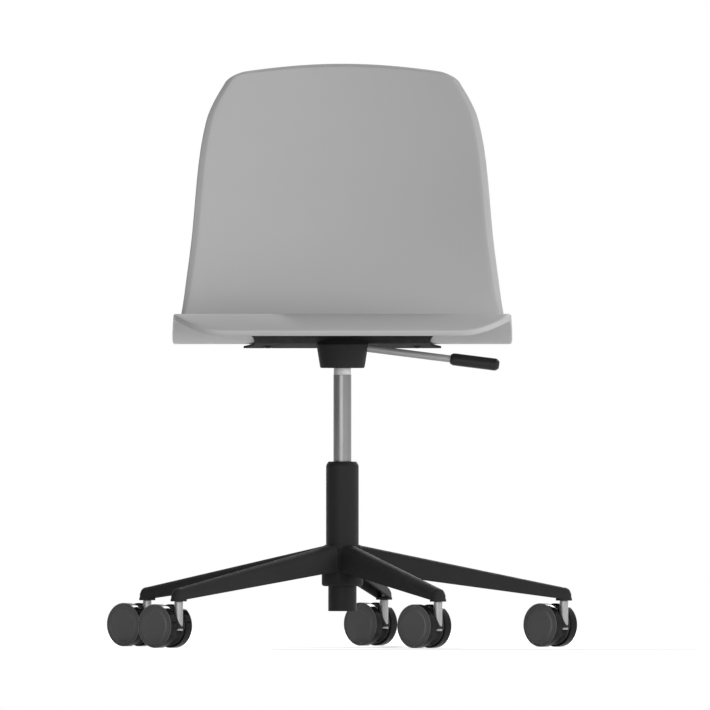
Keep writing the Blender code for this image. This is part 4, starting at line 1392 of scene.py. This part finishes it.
@dataclass
class GasLift(Assembly):
    """The chromed cylinder, the column tube with its guide bush, and the bearing in the tube's foot."""

    cylinder_r: float = 0.0135
    cylinder_wall: float = 0.0022
    cylinder_bottom_z: float = 0.1916
    cylinder_top_z: float = 0.445
    cylinder_head: float = 0.030
    shoulder_z: float = 0.408
    taper_step: float = 0.0004
    taper_narrowing: float = 0.0008
    taper_round: float = 0.001
    valve_r: float = 0.004
    tube_r: float = 0.0245
    tube_wall: float = 0.0022
    tube_top_z: float = 0.278
    tube_bottom_z: float = 0.0536
    tube_shoulder: tuple[float, float] = (0.0034, 0.0062)
    tube_shoulder_round: float = 0.0075
    tube_top_round: float = 0.002
    tube_foot_round: float = 0.0007
    tube_lip: float = 0.0022
    tube_lip_gap: float = 0.0014
    hub_top_z: float = 0.153
    hub_bottom_z: float = 0.091
    stub_r: float = 0.0213
    recess: float = 0.0055
    floor: float = 0.004
    rod_r: float = 0.005
    guide_length: float = 0.0785
    guide_recess: float = 0.0085
    race_r: float = 0.015
    ball_r: float = 0.002
    ball_z: float = 0.0677
    ball_count: int = 6
    ball_splits: int = 3
    cage_thickness: float = 0.0014
    cage_band: float = 0.0056

    def build(self) -> None:
        """Builds the lift's visible pieces and its bearing."""
        self._build_cylinder()
        self._build_tube()
        self._build_bearing()

    def _build_cylinder(self) -> None:
        """Builds the cylinder with its bright upper taper."""
        taper_r = self.cylinder_r - self.taper_step
        head_z = self.cylinder_top_z - self.cylinder_head
        bore = self.cylinder_r - self.cylinder_wall
        corners = [
            (self.valve_r + GAP, self.cylinder_top_z, CRISP),
            (taper_r - self.taper_narrowing, self.cylinder_top_z, self.taper_round),
            (taper_r, self.shoulder_z, 0.0),
            (self.cylinder_r, self.shoulder_z - self.taper_step, FAINT),
            (self.cylinder_r, self.cylinder_bottom_z, SOFT),
            (bore, self.cylinder_bottom_z, CRISP),
            (bore, head_z, 0.0),
            (self.valve_r + GAP, head_z, 0.0),
        ]
        mesh = turned(corners, FINE, ring=True)
        for face in mesh.polygons:
            face.material_index = int(face.center.z > self.shoulder_z)
        finishes = [CYLINDER_CHROME, TAPER_STEEL]
        self.room.show("lift_cylinder", mesh, "seat", finishes, ["gas_cylinder"], sharp=30.0)

    def _build_tube(self) -> None:
        """Builds the column tube with its rounded top and the guide bush in it."""
        wide, high = self.tube_shoulder
        top = self.tube_top_z
        bore, stub_bore = self.tube_r - self.tube_wall, self.stub_r - self.tube_wall
        recess_z = self.tube_bottom_z + self.recess
        floor_z = recess_z + self.floor
        hole = self.rod_r + GAP
        lip_r = self.cylinder_r + self.tube_lip_gap
        corners = [
            (lip_r, top, SLIGHT),
            (self.tube_r - wide, top, self.tube_top_round),
            (self.tube_r, top - high, self.tube_shoulder_round),
            (self.tube_r, self.hub_top_z, 0.0),
            (self.stub_r, self.hub_bottom_z, 0.0),
            (self.stub_r, self.tube_bottom_z, self.tube_foot_round),
            (stub_bore, self.tube_bottom_z, SLIGHT),
            (stub_bore, recess_z, SOFT),
            (hole, recess_z, TIGHT),
            (hole, floor_z, 0.0),
            (stub_bore, floor_z, 0.0),
            (stub_bore, self.hub_bottom_z, 0.0),
            (bore, self.hub_top_z, 0.0),
            (bore, top - high - self.tube_lip / 2, 0.0),
            (lip_r, top - self.tube_lip, TIGHT),
        ]
        tube = turned(corners, FINE, ring=True)
        self.room.show("lift_tube", tube, "base", [TUBE_BLACK], ["column_tube"], sharp=30.0)

        guide_top = top - self.guide_recess
        inner, outer = self.cylinder_r + GAP, bore - GAP
        corners = [
            (inner, guide_top, BOLD),
            (outer, guide_top, SOFT),
            (outer, guide_top - self.guide_length, SLIGHT),
            (inner, guide_top - self.guide_length, SLIGHT),
        ]
        guide = turned(corners, FINE, ring=True)
        self.room.show("guide_sleeve", guide, "base", [GUIDE_NYLON], ["guide_bush"])

    def _build_bearing(self) -> None:
        """Builds the bearing's ring and its balls."""
        track = (self.rod_r + GAP + self.race_r) / 2
        half, band = self.cage_thickness / 2, self.cage_band / 2
        corners = [
            (track - band, self.ball_z + half, CRISP),
            (track + band, self.ball_z + half, CRISP),
            (track + band, self.ball_z - half, CRISP),
            (track - band, self.ball_z - half, CRISP),
        ]
        cage = turned(corners, ring=True)
        self.room.show("bearing_ring", cage, "ball_cage", [BRASS], ["bearing_cage"])
        ball = bmesh.new()
        bmesh.ops.create_icosphere(ball, subdivisions=self.ball_splits, radius=self.ball_r)
        balls = self.room.rings.run(
            bpy.data.meshes.new("no_beside"),
            to_mesh(ball),
            STEEL,
            Count=self.ball_count,
            Radius=track,
            First_Angle=math.pi / self.ball_count,
            Centre=Vector((0.0, 0.0, self.ball_z)),
        )
        self.room.show("bearing_balls", balls, "ball_cage", [STEEL])


@dataclass
class StarBase(Assembly):
    """The five-star base: a hub, and hollow arms, open below, with a round nose and a stem collar."""

    arm_count: int = 5
    first_arm: float = math.radians(7.2)
    stem_circle_r: float = 0.335
    hub_r: float = 0.031
    hub_top_z: float = 0.153
    hub_bottom_z: float = 0.091
    hub_round: float = 0.004
    hub_neck_r: float = 0.027
    hub_neck_z: float = 0.128
    bore_top_r: float = 0.0248
    bore_bottom_r: float = 0.0216
    root_x: float = 0.025
    root_reach: float = 0.018
    root_half: float = 0.0178
    root_depth: float = 0.0395
    root_round: float = 0.0125
    tip_half: float = 0.0116
    tip_top_z: float = 0.089
    tip_depth: float = 0.0176
    tip_round: float = 0.0098
    draft: float = 0.0030
    draft_loss: float = 0.6
    least_round: float = 0.001
    fillet_r: float = 0.005
    wall: float = 0.0034
    roof: float = 0.0045
    collar_r: float = 0.0122
    collar_z: float = 0.0692
    collar_height: float = 0.0032
    collar_sink: float = 0.001
    neck_r: float = 0.0058
    neck_depth: float = 0.0153
    round_points: int = 7
    root_steps: int = 40
    arm_steps: int = 24
    nose_steps: int = 8

    def arm_angle(self, number: int) -> float:
        """The direction of an arm, numbered from 1."""
        return self.first_arm + (number - 1) * math.tau / self.arm_count

    def stem_place(self, number: int) -> Vector:
        """Where an arm's caster stem stands, from the column's axis."""
        angle = self.arm_angle(number)
        return Vector((self.stem_circle_r * math.cos(angle), self.stem_circle_r * math.sin(angle), 0.0))

    def _share(self, x: float) -> float:
        """How far along the arm a place is, from 0 at the root to 1 at the stem."""
        return (x - self.root_x) / (self.stem_circle_r - self.root_x)

    def half(self, x: float, inset: float) -> float:
        """Half the arm's width, with a fillet towards the next arm at the root.

        Args:
            x: Distance from the column's axis.
            inset: How far the outline lies inside the arm's foot.

        Returns:
            The half width.
        """
        foot = self.root_half + (self.tip_half - self.root_half) * self._share(x)
        slant = math.pi / self.arm_count
        short = max((foot + self.fillet_r) / math.tan(slant) - x, 0.0)
        radius = self.fillet_r + inset
        if short >= radius * math.cos(slant):
            return x * math.tan(slant)
        return foot + self.fillet_r - math.sqrt(radius**2 - short**2)

    def section(self, x: float, inset: float = 0.0, roof: float = 0.0) -> list[tuple[float, float]]:
        """The arm's outline across its length.

        Args:
            x: Distance from the column's axis.
            inset: How far its sides move in.
            roof: How far its top moves down.

        Returns:
            Points as (y, z), from one lower corner over the top to the other.
        """
        share = self._share(x)
        top = self.hub_top_z - GAP + (self.tip_top_z - self.hub_top_z + GAP) * share
        bottom = top - self.root_depth + (self.root_depth - self.tip_depth) * share
        rounding = self.root_round + (self.tip_round - self.root_round) * share - inset
        rounding = max(rounding, self.least_round)
        lean = self.draft * (1 - self.draft_loss * share)
        side = [(self.half(x, inset), bottom), (self.half(x, inset + lean / 2), (bottom + top) / 2)]
        for k in range(self.round_points):
            a = QUARTER * k / (self.round_points - 1)
            into = inset + lean + rounding * (1 - math.cos(a))
            side.append((self.half(x, into), top - roof - rounding * (1 - math.sin(a))))
        return side + [(-y, z) for y, z in reversed(side)]

    def _arm(self) -> Mesh:
        """Builds one arm along +X.

        Returns:
            The hollow arm with its nose and collar.
        """
        root_end = self.root_x + self.root_reach
        tip = self.stem_circle_r
        stations = spaced(self.root_x, root_end, self.root_steps)[:-1]
        stations += spaced(root_end, tip, self.arm_steps)
        sections = [[Vector((x, y, z)) for y, z in self.section(x)] for x in stations]
        for turn in spaced(0.0, QUARTER, self.nose_steps)[1:]:
            out, aside = math.sin(turn), math.cos(turn)
            sections.append([Vector((tip + abs(y) * out, y * aside, z)) for y, z in self.section(tip)])
        arm = combined(self._closed_nose(sections), [self._hollow()])
        collar_top = self.collar_z + self.collar_height
        corners = [
            (self.neck_r, collar_top + self.collar_sink, 0.0),
            (self.collar_r - SOFT, collar_top + self.collar_sink, 0.0),
            (self.collar_r, collar_top, SOFT),
            (self.collar_r, self.collar_z, SLIGHT),
            (self.neck_r, self.collar_z, CRISP),
        ]
        stem = Matrix.Translation((tip, 0.0, 0.0))
        low, high = self.collar_z - self.neck_depth, self.collar_z + self.neck_depth
        arm = combined(arm, [cylinder(self.neck_r, low, high, place=stem)])
        return joined([arm, turned(corners, ring=True, place=stem)])

    def _closed_nose(self, sections: list[list[Vector]]) -> Mesh:
        """Lofts the arm's sections, of which the last folds on itself at the nose.

        Args:
            sections: The sections in order.

        Returns:
            The closed form.
        """
        made = loft(sections)
        bmesh.ops.remove_doubles(made, verts=made.verts, dist=TOUCHING)
        bmesh.ops.dissolve_degenerate(made, dist=TOUCHING / 10, edges=made.edges)
        bmesh.ops.recalc_face_normals(made, faces=made.faces)
        return to_mesh(made)

    def _hollow(self) -> Mesh:
        """The room inside an arm, open below, which shows the stem's neck at its end.

        Returns:
            The cutter.
        """
        sections = []
        for x in spaced(self.hub_r + self.wall, self.stem_circle_r, self.arm_steps):
            outline = self.section(x, self.wall, self.roof)
            deep = outline[0][1] - self.tip_depth
            outline[0], outline[-1] = (outline[0][0], deep), (outline[-1][0], deep)
            sections.append([Vector((x, y, z)) for y, z in outline])
        return to_mesh(loft(sections))

    def build(self) -> None:
        """Builds the base: the arms copied round the hub."""
        corners = [
            (self.bore_top_r, self.hub_top_z, 0.0),
            (self.hub_neck_r, self.hub_top_z, SOFT),
            (self.hub_neck_r, self.hub_neck_z, 0.0),
            (self.hub_r, self.hub_neck_z - self.hub_r + self.hub_neck_r, 0.0),
            (self.hub_r, self.hub_bottom_z, self.hub_round),
            (self.bore_bottom_r, self.hub_bottom_z, PLAIN),
        ]
        base = self.room.rings.run(
            turned(corners, FINE, ring=True),
            self._arm(),
            NYLON_BLACK,
            Count=self.arm_count,
            Radius=0.0,
            First_Angle=self.first_arm,
            Centre=Vector((0.0, 0.0, 0.0)),
        )
        self.room.show("star_casting", base, "base", [NYLON_BLACK], ["star_base"], sharp=40.0)


@dataclass
class Casters(Assembly):
    """Five twin-wheel casters, each with a stem, a core between the wheels, an axle, wheels and tyres."""

    base: StarBase
    heading: float = math.radians(-40.0)
    trail: float = 0.0266
    axle_z: float = 0.032594
    wheel_r: float = 0.032594
    tread: float = 0.0140
    tyre_wall: float = 0.003
    tyre_edge: float = 0.0009
    tyre_edge_rise: float = 0.9
    tyre_inner_round: float = 0.0018
    tyre_steps: int = 8
    flank_slant: float = 0.5
    disc_r: float = 0.0247
    disc_rise: float = 0.0016
    flank_rise: float = 0.0003
    spacing: float = 0.020
    axle_r: float = 0.004
    axle_bore: float = 0.010
    core_r: float = 0.027
    stem_r: float = 0.0065
    stem_foot_z: float = 0.025594
    stem_foot: float = 0.003
    neck_r: float = 0.0055
    neck: float = 0.015
    shoulder_z: float = 0.0689
    socket_wall: float = 0.0026
    socket_rise: float = 0.0015
    lip_slope: float = 3.0
    lip_z: float = 0.0525
    cut_reach: float = 0.110

    def build(self) -> None:
        """Builds every caster from one set of patterns."""
        patterns: list[tuple[str, str, Mesh, list[Finish]]] = [
            ("stem", "", self._stem(), [STEEL]),
            ("housing", "", self._core(), [NYLON_BLACK]),
            ("axle", "", self._axle(), [STEEL]),
        ]
        rolling = (
            ("wheel", self._wheel(), [WHEEL_GREY]),
            ("tyre", self._tyre(), [TYRE_GLOSS, WHEEL_GREY]),
        )
        for side, outward in (("left", 1), ("right", -1)):
            flip = Matrix.Rotation(0.0 if outward > 0 else math.pi, 4, "X")
            shift = Matrix.Translation((0.0, 0.0, outward * self.spacing / 2))
            place = self._axle_place() @ shift @ flip
            for part, form, finishes in rolling:
                mesh = form.copy()
                mesh.transform(place)
                patterns.append((part, side, mesh, finishes))
        for number in range(1, self.base.arm_count + 1):
            point = places_mesh([(self.base.stem_place(number), Vector((0.0, 0.0, self.heading)))])
            for part, side, pattern, finishes in patterns:
                mesh = self.room.copies.run(point.copy(), pattern.copy(), finishes[0])
                numbers = [face.material_index for face in pattern.polygons]
                mesh.polygons.foreach_set("material_index", numbers)
                body = f"caster_{number}_{side}" if side else f"caster_{number}"
                node = f"caster_{number}_{part}_{side}" if side else f"caster_{number}_{part}"
                self.room.show(f"{node}_dressed", mesh, body, finishes, [node], sharp=28.0)

    def _axle_place(self) -> Matrix:
        """The middle of the axle, from the stem's axis, with Z along it."""
        return Matrix.Translation((-self.trail, 0.0, self.axle_z)) @ Matrix.Rotation(QUARTER, 4, "X")

    def _wheel(self) -> Mesh:
        """A wheel with its outer face up: a low disc on a nearly flat flank.

        Returns:
            The form, from the wheel's inner face.
        """
        flank = self.tread + self.tyre_edge
        seat = self.wheel_r - self.tyre_wall - GAP
        corners = [
            (0.0, flank + self.flank_rise + self.disc_rise, 0.0),
            (self.disc_r - self.disc_rise, flank + self.flank_rise + self.disc_rise, TIGHT),
            (self.disc_r, flank + self.flank_rise, FAINT),
            (seat, flank, CRISP),
            (seat, 0.0, CRISP),
            (self.axle_r + GAP, 0.0, TIGHT),
            (self.axle_r + GAP, self.axle_bore, 0.0),
            (0.0, self.axle_bore, 0.0),
        ]
        return turned(corners, FINE)

    def _tyre(self) -> Mesh:
        """A tyre with a glossy rounded tread.

        Returns:
            The form, from the wheel's inner face.
        """
        seat = self.wheel_r - self.tyre_wall
        corners = [
            (seat, self.tread + self.tyre_edge, CRISP),
            (self.wheel_r - self.tyre_edge, self.tread + self.tyre_edge_rise * self.tyre_edge, TIGHT),
            (self.wheel_r, self.tread, PLAIN),
            (self.wheel_r, 0.0, self.tyre_inner_round),
            (seat, 0.0, CRISP),
        ]
        mesh = turned(corners, FINE, ring=True, steps=self.tyre_steps)
        for face in mesh.polygons:
            face.material_index = int(face.normal.z > self.flank_slant)
        return mesh

    def _stem(self) -> Mesh:
        """The stem, whose neck turns in the arm.

        Returns:
            The form, on the stem's axis.
        """
        top = self.shoulder_z + GAP + self.neck
        corners = [
            (0.0, top, 0.0),
            (self.neck_r, top, SOFT),
            (self.neck_r, self.shoulder_z, FAINT),
            (self.stem_r, self.shoulder_z, CRISP),
            (self.stem_r, self.stem_foot_z, CRISP),
            (0.0, self.stem_foot_z, 0.0),
        ]
        return turned(corners)

    def _axle(self) -> Mesh:
        """The axle through core and wheels, from the stem's axis."""
        return self._roller(self.axle_r, self.spacing / 2 + self.axle_bore - GAP, PLAIN, SMALL)

    def _roller(self, radius: float, half: float, rounding: float, segments: int) -> Mesh:
        """A round form on the axle with rounded edges, from the stem's axis."""
        ends = [(0.0, half, 0.0), (radius, half, rounding), (radius, -half, rounding), (0.0, -half, 0.0)]
        return turned(ends, segments, place=self._axle_place())

    def _core(self) -> Mesh:
        """The core between the wheels, with a socket for the stem that is cut off at a slant.

        Returns:
            The form, from the stem's axis.
        """
        disc = self._roller(self.core_r, self.spacing / 2 - RUNNING_GAP, WIDE, FINE)
        bore_r = self.stem_r + GAP
        top = self.axle_z + self.core_r + self.socket_rise
        socket = cylinder(bore_r + self.socket_wall, self.stem_foot_z + self.stem_foot, top)
        core = combined(disc, [socket], Work.JOIN)
        lip_x = (self.lip_z - top) / self.lip_slope
        lip = Matrix.Translation((lip_x, 0.0, top)) @ Matrix.Rotation(math.atan(self.lip_slope), 4, "Y")
        reach = self.cut_reach
        slant = to_mesh(rounded_box((0.0, -reach, 0.0), (reach, reach, reach), 0.0), lip)
        stem_bore = cylinder(bore_r, -reach, reach)
        axle_bore = cylinder(self.axle_r + GAP, -reach, reach, place=self._axle_place())
        return combined(core, [slant, stem_bore, axle_bore])


@dataclass
class InnerWorks:
    """The pieces that stay as the frame has them, inside the lift and the housing, and their finishes."""

    finishes: dict[str, Finish] = field(
        default_factory=lambda: {
            "taper_bush": STEEL,
            "lever_pivot_pin": STEEL,
            "cylinder_gland": STEEL,
            "valve_pin": STEEL,
            "piston_rod": STEEL,
            "piston": BRASS,
            "bearing_lower_race": STEEL,
            "bearing_upper_race": STEEL,
            "bump_stop": BUMPER_RUBBER,
            "retaining_clip": STEEL,
        }
    )

    def dress(self, nodes: dict[str, Object]) -> None:
        """Gives each piece its finish.

        Args:
            nodes: The frame's nodes by name.
        """
        for name, finish in self.finishes.items():
            slots = nodes[name].data.materials
            slots.clear()
            slots.append(finish.material())
            LOG.info("%s: dressed in %s", name, finish.name)


class Throw(Enum):
    """What a softbox does: it lights surfaces, or it only shows in glossy ones."""

    LIGHT = "light"
    REFLECTION = "reflection"


@dataclass(frozen=True)
class Softbox:
    """A soft light that looks at the chair."""

    name: str
    place: tuple[float, float, float]
    width: float
    height: float
    watts: float
    throw: Throw = Throw.LIGHT


@dataclass
class Studio:
    """A pale floor, soft light, a grey card beside the chair, and a long lens at the photograph's angle."""

    aim: Vector = field(default_factory=lambda: Vector((0.0199, 0.0, 0.4377)))
    frame_height: float = 1.065
    half_angle: float = math.radians(0.61)
    camera_z: float = 0.3
    clip_reach: float = 4.0
    floor_size: float = 14.0
    floor_colour: float = 0.8
    floor_glow: tuple[float, float] = (0.44, 0.72)
    glow_reach: tuple[float, float] = (0.5, 2.4)
    fill: float = 0.42
    card_x: float = -2.5
    card_y: tuple[float, float] = (-2.9, 3.0)
    card_foot: float = 0.01
    card_height: float = 2.5
    card_grey: float = 0.32
    softboxes: tuple[Softbox, ...] = (
        Softbox("key_right", (2.9, -3.5, 0.75), 3.0, 1.4, 150.0),
        Softbox("low_behind", (-0.95, 3.0, 2.75), 0.1, 0.1, 120.0),
        Softbox("rim_right", (1.1, 3.0, 2.3), 1.2, 1.2, 55.0, Throw.REFLECTION),
        Softbox("stripe_left", (-0.6, -2.94, 0.6), 1.9, 1.6, 14.0, Throw.REFLECTION),
    )

    def build(self) -> None:
        """Sets up floor, world, lights and camera."""
        self._floor()
        self._card()
        self._world()
        for box in self.softboxes:
            lamp = bpy.data.lights.new(box.name, "AREA")
            lamp.shape = "RECTANGLE"
            lamp.size, lamp.size_y = box.width, box.height
            lamp.energy = box.watts
            stand = bpy.data.objects.new(box.name, lamp)
            stand.visible_camera = False
            stand.visible_glossy = box.throw is Throw.REFLECTION
            stand.visible_diffuse = box.throw is Throw.LIGHT
            stand.location = box.place
            stand.rotation_euler = (self.aim - Vector(box.place)).to_track_quat("-Z", "Y").to_euler()
            bpy.context.scene.collection.objects.link(stand)
        self._camera()

    @staticmethod
    def _seen(tree: NodeTree) -> NodeSocket:
        """Adds a value that is 1 for rays that show the background, straight, mirrored or through glass.

        Args:
            tree: The nodes it is added to.

        Returns:
            The value.
        """
        path = tree.nodes.new("ShaderNodeLightPath")
        total = path.outputs["Is Camera Ray"]
        for label in ("Is Glossy Ray", "Is Transmission Ray"):
            total = add_math(tree, "MAXIMUM", total, path.outputs[label])
        return total

    def _floor(self) -> None:
        """Lays the floor, which shows white and keeps the chair's shadow."""
        made = bmesh.new()
        bmesh.ops.create_circle(made, cap_ends=True, segments=FINE, radius=self.floor_size / 2)
        floor = scratch(to_mesh(made))
        floor.name = "floor"
        material = bpy.data.materials.new("floor_pale")
        material.use_nodes = True
        tree = material.node_tree
        tree.nodes.clear()
        matt = tree.nodes.new("ShaderNodeBsdfDiffuse")
        feed(tree, matt, Color=(*grey(self.floor_colour), 1.0))
        away = tree.nodes.new("ShaderNodeVectorMath")
        away.operation = "LENGTH"
        put(tree, away.inputs[0], tree.nodes.new("ShaderNodeTexCoord").outputs["Object"])
        rise = tree.nodes.new("ShaderNodeMapRange")
        rise.interpolation_type = "SMOOTHSTEP"
        (near, far), (dim, bright) = self.glow_reach, self.floor_glow
        feed(tree, rise, From_Min=near, From_Max=far, To_Min=dim, To_Max=bright)
        feed(tree, rise, Value=away.outputs["Value"])
        glow = tree.nodes.new("ShaderNodeEmission")
        feed(tree, glow, Strength=add_math(tree, "MULTIPLY", self._seen(tree), rise.outputs["Result"]))
        both = tree.nodes.new("ShaderNodeAddShader")
        put(tree, both.inputs[0], matt.outputs[0])
        put(tree, both.inputs[1], glow.outputs[0])
        feed(tree, tree.nodes.new("ShaderNodeOutputMaterial"), Surface=both.outputs[0])
        floor.data.materials.append(material)

    def _card(self) -> None:
        """Stands a grey card on the left, which only shows as the dark side of bright metal."""
        made = bmesh.new()
        (near, far), high = self.card_y, self.card_height
        corners = ((near, self.card_foot), (far, self.card_foot), (far, high), (near, high))
        made.faces.new([made.verts.new((self.card_x, y, z)) for y, z in corners])
        card = scratch(to_mesh(made))
        card.name = "grey_card"
        material = bpy.data.materials.new("card_grey")
        material.use_nodes = True
        tree = material.node_tree
        shader = tree.nodes["Principled BSDF"]
        feed(tree, shader, Base_Color=(*grey(self.card_grey), 1.0), Specular_IOR_Level=0.0)
        card.data.materials.append(material)
        card.visible_camera = card.visible_diffuse = False
        card.visible_shadow = card.visible_transmission = False

    def _world(self) -> None:
        """Makes the surroundings: white to look at, and an even soft fill on the chair."""
        world = bpy.data.worlds.new("studio")
        world.use_nodes = True
        tree = world.node_tree
        tree.nodes.clear()
        mix = tree.nodes.new("ShaderNodeMixShader")
        put(tree, mix.inputs[0], self._seen(tree))
        for socket, strength in zip(mix.inputs[1:], (self.fill, 1.0)):
            shade = tree.nodes.new("ShaderNodeBackground")
            put(tree, socket, feed(tree, shade, Color=(*grey(1.0), 1.0), Strength=strength).outputs[0])
        feed(tree, tree.nodes.new("ShaderNodeOutputWorld"), Surface=mix.outputs[0])
        bpy.context.scene.world = world

    def _camera(self) -> None:
        """Sets the camera square in front, far off with a long lens."""
        lens = bpy.data.cameras.new("front_view")
        lens.lens = lens.sensor_width / 2 / math.tan(self.half_angle)
        distance = self.frame_height / 2 / math.tan(self.half_angle)
        lens.clip_end = self.clip_reach * distance
        camera = bpy.data.objects.new("front_view", lens)
        camera.location = (self.aim.x, -distance, self.camera_z)
        camera.rotation_euler = (QUARTER + math.atan2(self.aim.z - self.camera_z, distance), 0.0, 0.0)
        bpy.context.scene.collection.objects.link(camera)
        bpy.context.scene.camera = camera
        bpy.context.scene.view_settings.view_transform = "Standard"


def main() -> None:
    """Builds the chair's looks over its frame, then the studio round it."""
    logging.basicConfig(level=logging.INFO, format="%(name)s: %(message)s")
    for old in list(bpy.data.objects):
        bpy.data.objects.remove(old, do_unlink=True)
    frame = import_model()
    low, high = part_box("column_tube")
    room = Showroom(Vector(((low.x + high.x) / 2, (low.y + high.y) / 2, 0.0)))
    shell = SeatShell(room)
    plate = SeatPlate(room, shell)
    base = StarBase(room)
    shell.build(plate)
    plate.build()
    Mechanism(room).build(plate)
    GasLift(room).build()
    base.build()
    Casters(room, base).build()
    InnerWorks().dress(frame["nodes"])
    Studio().build()


if __name__ == "__main__":
    main()
